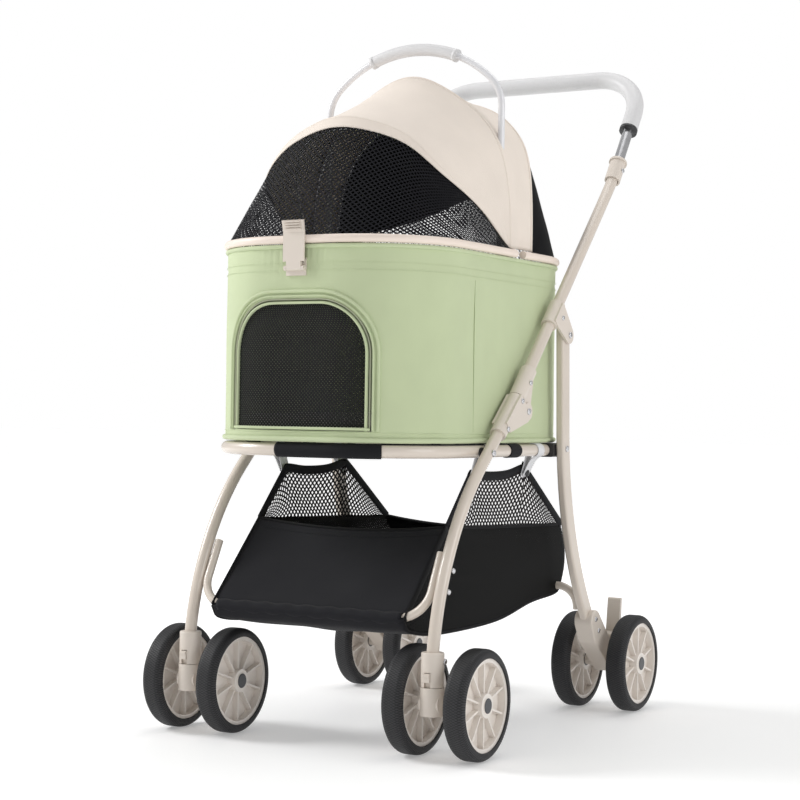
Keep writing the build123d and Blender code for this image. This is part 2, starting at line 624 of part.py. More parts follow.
def swivel_lock():
    tab = Pos(LEG_X, CASTER_Y - CASTER_HOUSING_RADIUS + 0.8, CASTER_JOINT_Z + 13) * Box(9.0, 6.0, 12.0)
    tab = fillet(tab.edges().filter_by(Axis.X), 1.2)
    return tab + Pos(LEG_X, CASTER_Y - CASTER_HOUSING_RADIUS - 2.6, CASTER_JOINT_Z + 16) * Box(9.0, 2.4, 3.0)


REAR_HOUSING_TOP = along(REAR_LEG_END, 90 + REAR_LEG_BOTTOM_ANGLE, 26)
PEDAL_PIVOT = (REAR_AXLE_Y + 6.0, TYRE_RADIUS + 38.0)
REAR_HOUSING_SCREWS = (
    along(REAR_LEG_END, 90 + REAR_LEG_BOTTOM_ANGLE, 30),
    along(REAR_LEG_END, 90 + REAR_LEG_BOTTOM_ANGLE, 8),
)


def rear_wheel_housing():
    outline = hull_of((REAR_HOUSING_TOP, 17), (REAR_LEG_END, 18), (REAR_AXLE, 16))
    ears = hull_of((REAR_AXLE, 14), (PEDAL_PIVOT, 8))
    half = HOUSING_WIDTH / 2
    body = slab(outline, REAR_LEG_X - half, REAR_LEG_X + half)
    body = fillet(body.edges().filter_by(GeomType.LINE).filter_by(Axis.X, reverse=True), 2.5)
    ear = PEDAL_WIDTH / 2 + 0.3
    body += slab(ears, REAR_LEG_X - half, REAR_LEG_X - ear) + slab(ears, REAR_LEG_X + ear, REAR_LEG_X + half)
    reach = PAIR_SPACING / 2 - HUB_LENGTH / 2 - 0.3
    body += side_cylinder(REAR_AXLE, 8.5, REAR_LEG_X - reach, REAR_LEG_X + reach)
    body -= side_cylinder(REAR_AXLE, AXLE_RADIUS + RUNNING_FIT, REAR_LEG_X - 60, REAR_LEG_X + 60)
    body -= rear_leg_solid(grow=RUNNING_FIT, hollow=False)
    body -= slab(circle_at(PEDAL_PIVOT, 9.5) + pedal_sweep(), REAR_LEG_X - ear, REAR_LEG_X + ear)
    body -= side_cylinder(PEDAL_PIVOT, 2.5 + RUNNING_FIT, REAR_LEG_X - 20, REAR_LEG_X + 20)
    for point in REAR_HOUSING_SCREWS:
        body -= screw_hole(point, REAR_LEG_X + half, 8)
    return body


def pedal_outline():
    """The pedal from the side: a hub on its pin, and an upright plate behind it."""
    heel = along(PEDAL_PIVOT, 5, 25)
    tip = along(heel, 84, 54)
    return hull_of((PEDAL_PIVOT, 6.5), (heel, 4)) + hull_of((heel, 4), (tip, 3))


def pedal_sweep():
    """Room for the pedal's arm over its whole travel."""
    outline = pedal_outline()
    room = outline
    for step in range(1, 7):
        turn = Pos(*PEDAL_PIVOT) * Rot(Z=-PEDAL_PRESS * step / 6) * Pos(-PEDAL_PIVOT[0], -PEDAL_PIVOT[1])
        room += turn * outline
    return offset(room, 0.5)


def brake_pedal():
    body = slab(pedal_outline(), REAR_LEG_X - PEDAL_WIDTH / 2, REAR_LEG_X + PEDAL_WIDTH / 2)
    return body - side_cylinder(PEDAL_PIVOT, 2.5 + RUNNING_FIT, REAR_LEG_X - 20, REAR_LEG_X + 20)


def basket_bar(x, top, low, corner):
    """A U-shaped bar between two legs that carries one edge of the basket."""
    corners = [side_point(top, x), side_point(low, x), side_point(low, -x), side_point(top, -x)]
    return FilletPolyline(*corners, radius=corner).wire()


FRONT_BAR = basket_bar(BAR_X, FRONT_BAR_TOP, (FRONT_BAR_Y, FRONT_BAR_Z), BAR_CORNER)
REAR_BAR = basket_bar(REAR_BAR_X, REAR_BAR_TOP, (REAR_BAR_Y, REAR_BAR_Z), REAR_BAR_CORNER)


# ---------------------------------------------------------------- seat ring and basket
def ring_path(z=RING_Z):
    return plan_edge(
        RING_HALF_WIDTH, CARRIER_FRONT_Y + RING_INSET, CARRIER_REAR_Y - RING_INSET, RING_CORNER_RADIUS, z
    )


def ring_tube(radius):
    path = ring_path()
    return sweep(section_at(path, Circle(radius)), path=path)


def seat_ring():
    ring = ring_tube(RING_TUBE_RADIUS) - ring_tube(RING_TUBE_RADIUS - TUBE_WALL)
    for side in (1, -1):
        for pivot in (RING_PIVOT, REAR_PIVOT):
            ring -= mirrored(pivot_hole(pivot, RING_INNER_X - 6, RING_OUTER_X + 3), side)
    return ring


def rear_block():
    """The moulded bearing between the ring and the rear leg."""
    length = 38.0
    inner = RING_INNER_X - 3
    outer = REAR_LEG_X - REAR_LEG_WIDTH / 2 - 0.3
    body = Pos((inner + outer) / 2, REAR_PIVOT[0], RING_Z) * Box(outer - inner, length, 2 * RING_TUBE_RADIUS + 3)
    body = fillet(body.edges().filter_by(Axis.Y), 4)
    body -= ring_tube(RING_TUBE_RADIUS + RUNNING_FIT)
    return body - pivot_hole(REAR_PIVOT, inner - 1, outer + 1)


def pivot_spacer():
    """The washer that keeps the front leg off the ring."""
    washer = side_cylinder(RING_PIVOT, 8.0, RING_OUTER_X + 0.2, LEG_X - LEG_TUBE_RADIUS - 0.1)
    return washer - pivot_hole(RING_PIVOT, RING_INNER_X, LEG_X)


def ring_sleeve(x, y, length, radius, along_x=False):
    """Webbing wrapped round the ring's tube."""
    turn = Rot(Y=90) if along_x else Rot(X=90)
    wrap = Pos(x, y, RING_Z) * turn * Cylinder(radius, length)
    return wrap - ring_tube(RING_TUBE_RADIUS + RUNNING_FIT)


def ring_straps():
    """Black webbing: pads wrapped on the ring, and two bands across it under the carrier."""
    thickness = 1.3
    radius = RING_TUBE_RADIUS + thickness
    front = CARRIER_FRONT_Y + RING_INSET
    pieces = [ring_sleeve(x, front, 62, radius, along_x=True) for x in (0.0,)]
    for y in STRAP_YS:
        for side in (1, -1):
            pieces.append(ring_sleeve(side * RING_HALF_WIDTH, y, STRAP_WIDTH, radius))
        half = RING_HALF_WIDTH - radius
        pieces.append(Pos(0, y, RING_Z) * Box(2 * half + 1, STRAP_WIDTH, 2 * thickness))
    return pieces


def basket_loops():
    """White webbing loops that hang the basket's side corners from the ring."""
    pieces = []
    for y in LOOP_YS:
        wrap = ring_sleeve(RING_HALF_WIDTH, y, LOOP_WIDTH, RING_TUBE_RADIUS + LOOP_THICKNESS + 0.2)
        top = (RING_HALF_WIDTH - 5.0, RING_Z - RING_TUBE_RADIUS - 0.2)
        low = (BASKET_HALF_WIDTH + 3.2, BASKET_HANG_Z - 9.0)
        lean = angle_between(low, top)
        length = math.dist(low, top)
        tab = Plane(origin=(low[0], y, low[1]), x_dir=(heading(lean)[0], 0, heading(lean)[1]),
                    z_dir=(0, -1, 0)) * (Pos(length / 2, 0) * Rectangle(length, LOOP_THICKNESS))
        tab = extrude(tab, LOOP_WIDTH / 2, both=True)
        pieces.append(wrap + (tab - ring_tube(RING_TUBE_RADIUS + RUNNING_FIT)))
    return pieces


def basket_snaps():
    """Snap buttons through the loops and the basket's corners."""
    return [
        side_cylinder((y, BASKET_HANG_Z - 10.0), 5.5, BASKET_HALF_WIDTH + 0.1, BASKET_HALF_WIDTH + 2.0)
        for y in LOOP_YS
    ]


def basket_outline():
    bar_under = FRONT_BAR_Z - BASKET_BAR_RADIUS - 4
    rear_under = REAR_BAR_Z - BASKET_BAR_RADIUS - 5
    return [
        (FRONT_BAR_Y - BASKET_BAR_RADIUS - 4, bar_under + 2), (FRONT_BAR_Y + 20, bar_under - 8),
        (FRONT_BAR_Y + 94, BASKET_BOTTOM_Z), (FRONT_BAR_Y + 260, BASKET_BOTTOM_Z + 1),
        (REAR_BAR_Y - 90, rear_under - 8), (REAR_BAR_Y + 6, rear_under), (REAR_BAR_Y + 12, REAR_BAR_Z + 4),
        (REAR_BAR_Y + 30, REAR_BAR_Z + 69), (REAR_BAR_Y + 10, REAR_BAR_Z + 95),
        (LOOP_YS[1] + 6, BASKET_HANG_Z), (LOOP_YS[0] - 6, BASKET_HANG_Z - 9),
        (BASKET_HEM_Y, BASKET_HEM_Z),
    ]


def basket():
    outline = Polygon(*basket_outline(), align=None)
    inner = offset(outline, -BASKET_WALL, kind=Kind.INTERSECTION)
    shell = slab(outline, -BASKET_HALF_WIDTH, BASKET_HALF_WIDTH)
    inner_half = BASKET_HALF_WIDTH - BASKET_WALL
    shell -= slab(inner, -inner_half, inner_half)
    hem = (BASKET_HEM_Y - BASKET_WALL * 2, BASKET_HEM_Z + 0.1)
    mouth = Polygon(
        hem, (BASKET_HEM_Y + 200, BASKET_HEM_Z - 14), (REAR_BAR_Y + 26, REAR_BAR_Z + 84),
        (REAR_BAR_Y + 40, REAR_BAR_Z + 84), (REAR_BAR_Y + 40, BASKET_HANG_Z + 20),
        (hem[0], BASKET_HANG_Z + 20), align=None,
    )
    shell -= slab(mouth, -inner_half, inner_half)
    for path in (FRONT_BAR, REAR_BAR):
        shell -= sweep(section_at(path, Circle(BASKET_BAR_RADIUS + SOFT_CLEARANCE)), path=path)
    return max(shell.solids(), key=lambda s: s.volume)


# ---------------------------------------------------------------- carrier
def carrier_plan(grow=0.0):
    return rounded_plan(CARRIER_HALF_WIDTH, CARRIER_FRONT_Y, CARRIER_REAR_Y, CORNER_RADIUS, grow)


def carrier_block(z_from, z_to, grow=0.0):
    return Pos(0, 0, z_from) * extrude(carrier_plan(grow), z_to - z_from)


def door_outline(grow=0.0):
    """The arched door, seen from the front."""
    width, height = 2 * DOOR_HALF_WIDTH + 2 * grow, DOOR_HEIGHT + 2 * grow
    low = TUB_BOTTOM_Z + DOOR_SILL - grow
    arch = Pos(0, low + height / 2) * Rectangle(width, height)
    arch = fillet(arch.vertices().group_by(Axis.Y)[-1], DOOR_CORNER)
    return Plane(origin=(0, CARRIER_FRONT_Y + 50, 0), x_dir=(1, 0, 0), z_dir=(0, -1, 0)) * arch


def tub():
    body = carrier_block(TUB_BOTTOM_Z, TUB_TOP_Z)
    body -= carrier_block(TUB_BOTTOM_Z + 3, TUB_TOP_Z + 1, -TUB_WALL)
    return body - extrude(door_outline(), 80)


def door_panel():
    inset = 0.8
    skin = carrier_block(TUB_BOTTOM_Z, TUB_TOP_Z, -inset)
    skin -= carrier_block(TUB_BOTTOM_Z, TUB_TOP_Z, -inset - DOOR_THICKNESS)
    return skin & extrude(door_outline(-0.6), 80)


def base_board():
    start = TUB_BOTTOM_Z + 3 + 0.2
    return carrier_block(start, start + BOARD_THICKNESS, -TUB_WALL - 2)


def cushion():
    start = TUB_BOTTOM_Z + 3 + BOARD_THICKNESS + 0.5
    pad = carrier_block(start, start + CUSHION_THICKNESS, -TUB_WALL - 4)
    return fillet(pad.edges().group_by(Axis.Z)[-1], CUSHION_THICKNESS * 0.35)


RIM_Z = TUB_TOP_Z + RIM_TUBE_RADIUS + 0.7
RIM_X = CARRIER_HALF_WIDTH + 0.5


def rim_half(front):
    """Half of the tube round the tub's top: the front half lifts, the rear half stays."""
    path = plan_edge(CARRIER_HALF_WIDTH, CARRIER_FRONT_Y, CARRIER_REAR_Y, CORNER_RADIUS, RIM_Z, RIM_X - CARRIER_HALF_WIDTH)
    loop = sweep(section_at(path, Circle(RIM_TUBE_RADIUS)), path=path)
    size = 800.0
    direction = -1 if front else 1
    keep = Pos(0, BOW_PIVOT_Y + direction * (size / 2 + RIM_END_GAP), RIM_Z) * Box(size, size, 40)
    return loop & keep


HOOP_EAR_X = (HOOP_HALF_WIDTH - 4, HOOP_HALF_WIDTH + 4)
PIVOT = (BOW_PIVOT_Y, BOW_PIVOT_Z)


def pivot_bracket():
    """Fixed to the tub's wall inside its rim: it holds the pin of the bows and the hoop."""
    wall = CARRIER_HALF_WIDTH - TUB_WALL
    plate = hull_of((PIVOT, 8), ((PIVOT[0] - 14, PIVOT[1] - 34), 6), ((PIVOT[0] + 14, PIVOT[1] - 34), 6))
    body = slab(plate, *PIVOT_PLATE_X)
    foot = Pos((PIVOT_PLATE_X[0] + wall - 0.2) / 2, PIVOT[0], PIVOT[1] - 33)
    body += foot * Box(wall - 0.2 - PIVOT_PLATE_X[0], 34, 14)
    return body + side_cylinder(PIVOT, PIVOT_PIN_RADIUS, HOOP_EAR_X[0] - 3, LID_EAR_X[1] + 1.5)


def pin_bore(x_range):
    return side_cylinder(PIVOT, PIVOT_PIN_RADIUS + RUNNING_FIT, x_range[0] - 2, x_range[1] + 2)


def lid_rim():
    body = rim_half(front=True)
    link_y = PIVOT[0] - RIM_END_GAP - 2.5
    for side in (1, -1):
        ear = side_cylinder(PIVOT, EAR_RADIUS, *LID_EAR_X) + slab(
            oblong(PIVOT, 180, RIM_END_GAP + 3.5, 6), *LID_EAR_X
        )
        ear += Pos((LID_EAR_X[0] + RIM_X) / 2, link_y, RIM_Z) * Box(RIM_X - LID_EAR_X[0], 4.0, 4.0)
        ear -= pin_bore(LID_EAR_X)
        body += mirrored(ear, side)
    return body


def bow_tube(half_width, height, angle, trim):
    path = arch_path(half_width, height, PIVOT[0], PIVOT[1], angle)
    bow = sweep(section_at(path, Circle(BOW_RADIUS)), path=path)
    if trim:
        bow -= side_cylinder(PIVOT, trim, -half_width - 9, half_width + 9)
    return bow


def front_bow():
    half_width = (BOW_EAR_X[0] + BOW_EAR_X[1]) / 2
    bow = bow_tube(half_width, BOW_HEIGHT - FRONT_BOW_INSET, FRONT_BOW_ANGLE, 5)
    for side in (1, -1):
        ear = side_cylinder(PIVOT, EAR_RADIUS, *BOW_EAR_X) - pin_bore(BOW_EAR_X)
        bow += mirrored(ear, side)
    return bow


def canopy_section(grow, angle, stretch, base):
    """The canopy's cross-section in the plane that leans by angle, cut off at base from the pivot axis."""
    half, height = BOW_HALF_WIDTH + BOW_RADIUS + grow, BOW_HEIGHT + BOW_RADIUS + grow + stretch
    path = arch_path(half, height, PIVOT[0], PIVOT[1], angle)
    floor = Line(path.position_at(0), path.position_at(1)).edge()
    face = make_face(Wire(path.edges() + ShapeList([floor])))
    lean = Plane(origin=(0, *PIVOT), x_dir=(1, 0, 0), z_dir=(0, -heading(angle)[1], heading(angle)[0]))
    return face & (lean * Pos(0, base + height) * Rectangle(2 * half + 10, 2 * height))


def canopy_wedge(grow, angles, stretches, base):
    """A solid wedge of the canopy: turned where its arch stays the same size, lofted where it grows."""
    axis = Axis((0, *PIVOT), (1, 0, 0))
    wedge = None
    for (angle_a, stretch_a), (angle_b, stretch_b) in zip(
        zip(angles, stretches), zip(angles[1:], stretches[1:])
    ):
        if stretch_a == stretch_b:
            piece = revolve(canopy_section(grow, min(angle_a, angle_b), stretch_a, base), axis,
                            abs(angle_b - angle_a))
            wedge = piece if wedge is None else wedge + piece
            continue
        steps = math.ceil(abs(angle_b - angle_a) / CANOPY_STEP)
        for k in range(steps):
            faces = [
                canopy_section(grow, angle_a + (angle_b - angle_a) * share,
                               stretch_a + (stretch_b - stretch_a) * share, base)
                for share in (k / steps, (k + 1) / steps)
            ]
            piece = loft(faces, ruled=True)
            wedge = piece if wedge is None else wedge + piece
    return wedge


def canopy_shell(angles, stretches):
    """A fabric shell through leaning arches, open below and at its two end planes."""
    outer = canopy_wedge(SOFT_CLEARANCE + FABRIC / 2, angles, stretches, BOW_TRIM / 2)
    inner = canopy_wedge(SOFT_CLEARANCE, angles, stretches, BOW_TRIM / 4)
    span = CARRIER_HALF_WIDTH + 20
    return outer - inner - side_cylinder(PIVOT, BOW_TRIM, -span, span)


def rim_reach(rim_distance):
    """The height of an arch that lies flat just inside the rim."""
    inside_rim = rim_distance + RIM_X - CARRIER_HALF_WIDTH - RIM_TUBE_RADIUS - 4 * SOFT_CLEARANCE
    return inside_rim - BOW_RADIUS - SOFT_CLEARANCE - FABRIC / 2


# ---------------------------------------------------------------- the carry hoop
def hoop_line(grow, angle):
    """The hoop's centre line, moved out by grow: straight legs, two shoulders and a wide crown."""
    c, s = heading(HOOP_SHOULDER_ANGLE)
    half, height = HOOP_HALF_WIDTH + grow, HOOP_TOP_Z - PIVOT[1] + grow
    crown = HOOP_CROWN_RADIUS + grow
    shoulder = (half - crown * s) / (1 - s)
    leg = height - crown * (1 - c) - shoulder * c
    mid_c, mid_s = heading((90 + HOOP_SHOULDER_ANGLE) / 2)
    feet, tops, mids, joins = (
        [(side * x, z) for side in (-1, 1)]
        for x, z in (
            (half, 0), (half, leg),
            (half - shoulder * (1 - mid_s), leg + shoulder * mid_c),
            (crown * s, height - crown * (1 - c)),
        )
    )
    line = Wire([
        Line(feet[0], tops[0]).edge(),
        ThreePointArc(tops[0], mids[0], joins[0]).edge(),
        ThreePointArc(joins[0], (0, height), joins[1]).edge(),
        ThreePointArc(joins[1], mids[1], tops[1]).edge(),
        Line(tops[1], feet[1]).edge(),
    ])
    return leaning(PIVOT[0], PIVOT[1], angle) * line


def hoop_path():
    return hoop_line(0, 90)


def hoop_tube():
    path = hoop_path()
    hoop = sweep(section_at(path, Circle(HOOP_RADIUS)), path=path)
    hoop -= side_cylinder(PIVOT, 5, -170, 170)
    for side in (1, -1):
        hoop += mirrored(side_cylinder(PIVOT, 7, *HOOP_EAR_X) - pin_bore(HOOP_EAR_X), side)
    return hoop


def hoop_grip():
    path = hoop_path()
    half = HOOP_GRIP_LENGTH / 2 / path.length
    piece = path.trim(0.5 - half, 0.5 + half)
    outer = sweep(section_at(piece, Circle(HOOP_GRIP_RADIUS)), path=piece)
    return outer - sweep(section_at(piece, Circle(HOOP_RADIUS + RUNNING_FIT)), path=piece)


def hoop_slit():
    """Room for the hoop through the canopy over its small swing."""
    room = HOOP_RADIUS + 1.5
    angle = 90 - HOOP_TRAVEL - SLIT_MARGIN
    faces = []
    for grow in (room, -room):
        path = hoop_line(grow, angle)
        floor = Line(path.position_at(0), path.position_at(1)).edge()
        faces.append(make_face(Wire(path.edges() + ShapeList([floor]))))
    return revolve(faces[0] - faces[1], Axis((0, *PIVOT), (1, 0, 0)), HOOP_TRAVEL + 2 * SLIT_MARGIN)


# ---------------------------------------------------------------- front latch
LATCH_PIN = (CARRIER_FRONT_Y - 6.2, TUB_TOP_Z - 33.0)


def latch_plate():
    plate = Pos(0, CARRIER_FRONT_Y - 1.4, LATCH_PIN[1] + 2) * Box(LATCH_WIDTH - 2, 2.2, 24)
    for x in (-LATCH_WIDTH / 2 + 3, LATCH_WIDTH / 2 - 3):
        ear = slab(hull_of((LATCH_PIN, 3.6), ((CARRIER_FRONT_Y - 2.2, LATCH_PIN[1]), 3.6)), x - 2, x + 2)
        ear &= Pos(0, CARRIER_FRONT_Y - 10.3, LATCH_PIN[1]) * Box(60, 20, 20)
        plate += ear
    return plate - side_cylinder(LATCH_PIN, 1.5 + RUNNING_FIT, -40, 40)


def latch_lever():
    """The toggle: a strap from its pin up in front of the rim, with a ribbed thumb tab on top."""
    low, high = LATCH_PIN[1], RIM_Z + RIM_TUBE_RADIUS
    front = RIM_FRONT_Y - RIM_TUBE_RADIUS - 0.6
    strap = Polygon(
        (LATCH_PIN[0] - 3.4, low), (front - 2.8, low + 14), (front - 2.8, high + 3.4),
        (front - 7.0, high + 19), (front - 3.0, high + 20), (front, high + 3.4), (front, low + 12),
        (LATCH_PIN[0] + 2.2, low + 6), (LATCH_PIN[0] + 2.2, low), align=None,
    )
    inner = LATCH_WIDTH / 2 - 5.4
    body = slab(strap, -LATCH_WIDTH / 2, LATCH_WIDTH / 2)
    body -= Pos(LATCH_WIDTH / 2, LATCH_PIN[0], low) * Box(10.8, 20, 18)
    body -= Pos(-LATCH_WIDTH / 2, LATCH_PIN[0], low) * Box(10.8, 20, 18)
    body += side_cylinder(LATCH_PIN, 3.4, -inner, inner)
    body += side_cylinder(LATCH_PIN, 1.5, -LATCH_WIDTH / 2, LATCH_WIDTH / 2)
    for i in range(4):
        z = high + 7 + 3.4 * i
        body += Pos(0, front - 5.6 - 0.9 * (z - high - 7) / 3.4, z) * Box(LATCH_WIDTH - 8, 2.4, 1.3)
    return body


RIM_FRONT_Y = CARRIER_FRONT_Y - (RIM_X - CARRIER_HALF_WIDTH)
ORIGIN_Y = (RIM_FRONT_Y - RIM_TUBE_RADIUS - 8 + PUSH_TOP[0] + GRIP_RADIUS) / 2


# ---------------------------------------------------------------- assembly
def build():
    """Every node by name, each a shape or a list of separate solids."""
    nodes = {}
    wheel = wheel_parts()
    for side_name, side in SIDES:
        for end, axle, x in (("front", FRONT_AXLE, LEG_X), ("rear", REAR_AXLE, REAR_LEG_X)):
            for place, outward in (("outer", 1), ("inner", -1)):
                tyre, hub = wheel_at(wheel, x + outward * PAIR_SPACING / 2, axle, outward)
                nodes[f"tyre_{end}_{place}_{side_name}"] = mirrored(tyre, side)
                nodes[f"hub_{end}_{place}_{side_name}"] = both(mirrored_all([hub], side))
        nodes[f"caster_fork_{side_name}"] = both(mirrored_all([caster_fork(), axle_rod(LEG_X, FRONT_AXLE)], side))
        nodes[f"swivel_lock_{side_name}"] = mirrored(swivel_lock(), side)
        nodes[f"brake_pedal_{side_name}"] = mirrored(brake_pedal(), side)

    # Front frame
    nodes["front_legs"] = pair_of(front_leg())
    nodes["front_basket_bar"] = sweep(section_at(FRONT_BAR, Circle(BASKET_BAR_RADIUS)), path=FRONT_BAR)
    nodes["caster_housings"] = pair_of(caster_housing())
    nodes["hinge_brackets_lower"] = pair_of(lower_hinge_bracket())
    front_bolts = [dome_bolt(RING_PIVOT, LEG_FACE_X, RING_INNER_X - 3), fold_hinge_pin()]
    front_bolts += [side_screw(p, BRACKET_FACE_X, 2 * SLEEVE_RADIUS - 2) for p in LOWER_SCREWS]
    front_bolts += [side_screw(p, LEG_FACE_X, 2 * LEG_TUBE_RADIUS) for p in BAR_SCREWS]
    front_bolts += [side_screw(HOUSING_SCREW, LEG_X + CASTER_HOUSING_RADIUS + 0.1, 6)]
    nodes["front_bolts"] = pair_of(*front_bolts)

    # Rear frame
    leg = rear_leg_solid() - pivot_hole(REAR_PIVOT, REAR_LEG_X - 20, REAR_LEG_X + 20)
    nodes["rear_legs"] = pair_of(leg)
    nodes["rear_basket_bar"] = sweep(section_at(REAR_BAR, Circle(BASKET_BAR_RADIUS)), path=REAR_BAR)
    nodes["rear_wheel_housings"] = pair_of(rear_wheel_housing())
    nodes["rear_axles"] = pair_of(
        axle_rod(REAR_LEG_X, REAR_AXLE),
        side_cylinder(PEDAL_PIVOT, 2.5, REAR_LEG_X - 14.8, REAR_LEG_X + 14.8),
    )
    rear_bolts = [dome_bolt(REAR_PIVOT, REAR_LEG_FACE_X, RING_INNER_X - 5)]
    rear_bolts += [side_screw(p, REAR_LEG_X + HOUSING_WIDTH / 2, 7) for p in REAR_HOUSING_SCREWS]
    nodes["rear_bolts"] = pair_of(*rear_bolts)

    # Push handle
    nodes["handle_tubes"] = pair_of(handle_tube())
    nodes["push_bar"] = tube(push_path(1.0), PUSH_TUBE_RADIUS)
    nodes["push_grip"] = grip_solid()
    nodes["handle_collars"] = pair_of(collar())
    nodes["hinge_brackets_upper"] = pair_of(upper_hinge_bracket())
    nodes["leg_brackets"] = pair_of(leg_bracket())
    handle_bolts = [side_screw(UPPER_SCREW, BRACKET_FACE_X, 2 * SLEEVE_RADIUS - 2)]
    handle_bolts += [side_screw(LEG_BRACKET_SCREW, BRACKET_FACE_X + 1, 5)]
    handle_bolts += [side_screw(HANDLE_BEND_END, LEG_X + COLLAR_RADIUS + 0.05, 2.4)]
    handle_bolts += [dome_bolt(TOP_PIVOT, BRACKET_FACE_X + 1, LUG_X + 0.2)]
    nodes["handle_bolts"] = pair_of(*handle_bolts)

    # Seat ring and basket
    nodes["seat_ring"] = seat_ring()
    nodes["ring_bearings"] = pair_of(rear_block(), pivot_spacer())
    nodes["ring_straps"] = both(ring_straps())
    nodes["basket_loops"] = pair_of(*basket_loops(), *basket_snaps())
    nodes["basket"] = basket()

    # Carrier
    nodes["tub"] = tub()
    nodes["base_board"] = base_board()
    nodes["cushion"] = cushion()
    nodes["tub_rim"] = rim_half(front=False)
    nodes["carrier_brackets"] = both([pair_of(pivot_bracket()), latch_plate()])
    nodes["fixed_bows"] = both([
        bow_tube(BOW_HALF_WIDTH, BOW_HEIGHT, MIDDLE_BOW_ANGLE, BOW_TRIM),
        bow_tube(BOW_HALF_WIDTH, BOW_HEIGHT, REAR_BOW_ANGLE, BOW_TRIM),
    ])
    nodes["canopy_rear"] = canopy_shell((MIDDLE_BOW_ANGLE - 2, REAR_BOW_ANGLE - 2), (0, 0)) - hoop_slit()
    rear_drop = rim_reach(CARRIER_REAR_Y - BOW_PIVOT_Y) - BOW_HEIGHT
    nodes["canopy_back_panel"] = canopy_shell((REAR_BOW_ANGLE - 3, 35, 0), (0, rear_drop * 0.35, rear_drop))
    nodes["latch_lever"] = latch_lever()
    nodes["door_panel"] = door_panel()
    nodes["front_bow"] = front_bow()
    nodes["canopy_front"] = canopy_shell((FRONT_BOW_ANGLE - 2, 120, MIDDLE_BOW_ANGLE + 1), (0, 0, 0))
    front_stretch = rim_reach(BOW_PIVOT_Y - CARRIER_FRONT_Y) - BOW_HEIGHT
    nodes["front_mesh"] = canopy_shell((FRONT_BOW_ANGLE + 0.3, 160, 180), (0, front_stretch / 2, front_stretch))
    nodes["lid_rim"] = lid_rim()
    nodes["hoop_tube"] = hoop_tube()
    nodes["hoop_grip"] = hoop_grip()
    return nodes


def fold_hinge_pin():
    head = dome_bolt(FOLD_HINGE, BRACKET_FACE_X, LEG_X - SLEEVE_RADIUS - 1.5)
    return head + side_cylinder(FOLD_HINGE, SCREW_HEAD_RADIUS, LEG_X - SLEEVE_RADIUS - 3.5, LEG_X - SLEEVE_RADIUS)


def both(shapes):
    return Compound(children=[solid for shape in shapes for solid in shape.solids()])


def mirrored_all(shapes, side):
    return [mirrored(shape, side) for shape in shapes]


def pair_of(*shapes):
    return both([mirrored(shape, side) for side in (1, -1) for shape in shapes])


def main():
    os.makedirs("parts", exist_ok=True)
    for name, shape in build().items():
        placed = Pos(0, -ORIGIN_Y, 0) * both([shape])
        export_step(placed, f"parts/{name}.step")


if __name__ == "__main__":
    main()
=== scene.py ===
# %% [markdown]
# # A pet stroller, dressed in its cloth and finishes
# The tubes, hinges and wheels arrive as a fixed engineering frame, and every cell below adds what a sewing room and a
# paint shop would add. We load the frame first, because each cloth piece takes its place from the hardware that holds
# it, and we read the parts' boxes from it.

# %% Load the frame
import math

import bmesh
import bpy
from mathutils import Matrix, Vector, noise


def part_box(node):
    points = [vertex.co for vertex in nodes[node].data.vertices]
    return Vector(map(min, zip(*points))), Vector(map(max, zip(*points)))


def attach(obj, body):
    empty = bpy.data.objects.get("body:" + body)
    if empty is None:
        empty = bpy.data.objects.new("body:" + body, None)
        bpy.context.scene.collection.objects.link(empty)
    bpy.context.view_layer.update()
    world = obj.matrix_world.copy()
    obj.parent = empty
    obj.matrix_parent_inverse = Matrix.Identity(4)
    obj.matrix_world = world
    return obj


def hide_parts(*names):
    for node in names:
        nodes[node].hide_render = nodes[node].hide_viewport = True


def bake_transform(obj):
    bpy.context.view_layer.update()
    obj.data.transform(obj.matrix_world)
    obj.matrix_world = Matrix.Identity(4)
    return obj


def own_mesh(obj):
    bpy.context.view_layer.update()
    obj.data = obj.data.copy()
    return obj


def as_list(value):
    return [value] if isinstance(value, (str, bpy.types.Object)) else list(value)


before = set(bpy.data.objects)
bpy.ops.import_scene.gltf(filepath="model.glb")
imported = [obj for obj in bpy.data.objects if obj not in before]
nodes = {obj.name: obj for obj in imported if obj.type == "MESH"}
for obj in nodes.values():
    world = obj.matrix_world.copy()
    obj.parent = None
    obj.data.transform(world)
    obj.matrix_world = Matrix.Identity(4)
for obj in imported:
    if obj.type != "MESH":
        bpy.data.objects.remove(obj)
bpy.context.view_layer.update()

FRONT_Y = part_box("tub")[0].y
REAR_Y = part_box("tub")[1].y
SHIFT = FRONT_Y + 0.393

# %% [markdown]
# ## Camera and light
# The stroller is seen from its front left at wheel-to-rim height, with a long lens, so the uprights
# stay upright. The studio is one pale floor with large soft lights: a key from the left, a weaker
# fill from the right, and a bright sky that keeps black cloth readable.

# %% Camera
azimuth, elevation, roll = (math.radians(a) for a in (29.911, -0.391, 0.882))
back = Vector((
    math.sin(azimuth) * math.cos(elevation), -math.cos(azimuth) * math.cos(elevation), math.sin(elevation)
))
right = Vector((math.cos(azimuth), math.sin(azimuth), 0))
up = back.cross(right)
rolled_right = right * math.cos(roll) + up * math.sin(roll)
rolled_up = up * math.cos(roll) - right * math.sin(roll)
lens = bpy.data.cameras.new("camera")
lens.lens, lens.sensor_width = 84.04, 36
lens.dof.use_dof = False
camera = bpy.data.objects.new("camera", lens)
place = Matrix((rolled_right, rolled_up, back)).transposed().to_4x4()
place.translation = Vector((1.3914, SHIFT - 2.5247, 0.4626))
camera.matrix_world = place
bpy.context.scene.collection.objects.link(camera)
bpy.context.scene.camera = camera


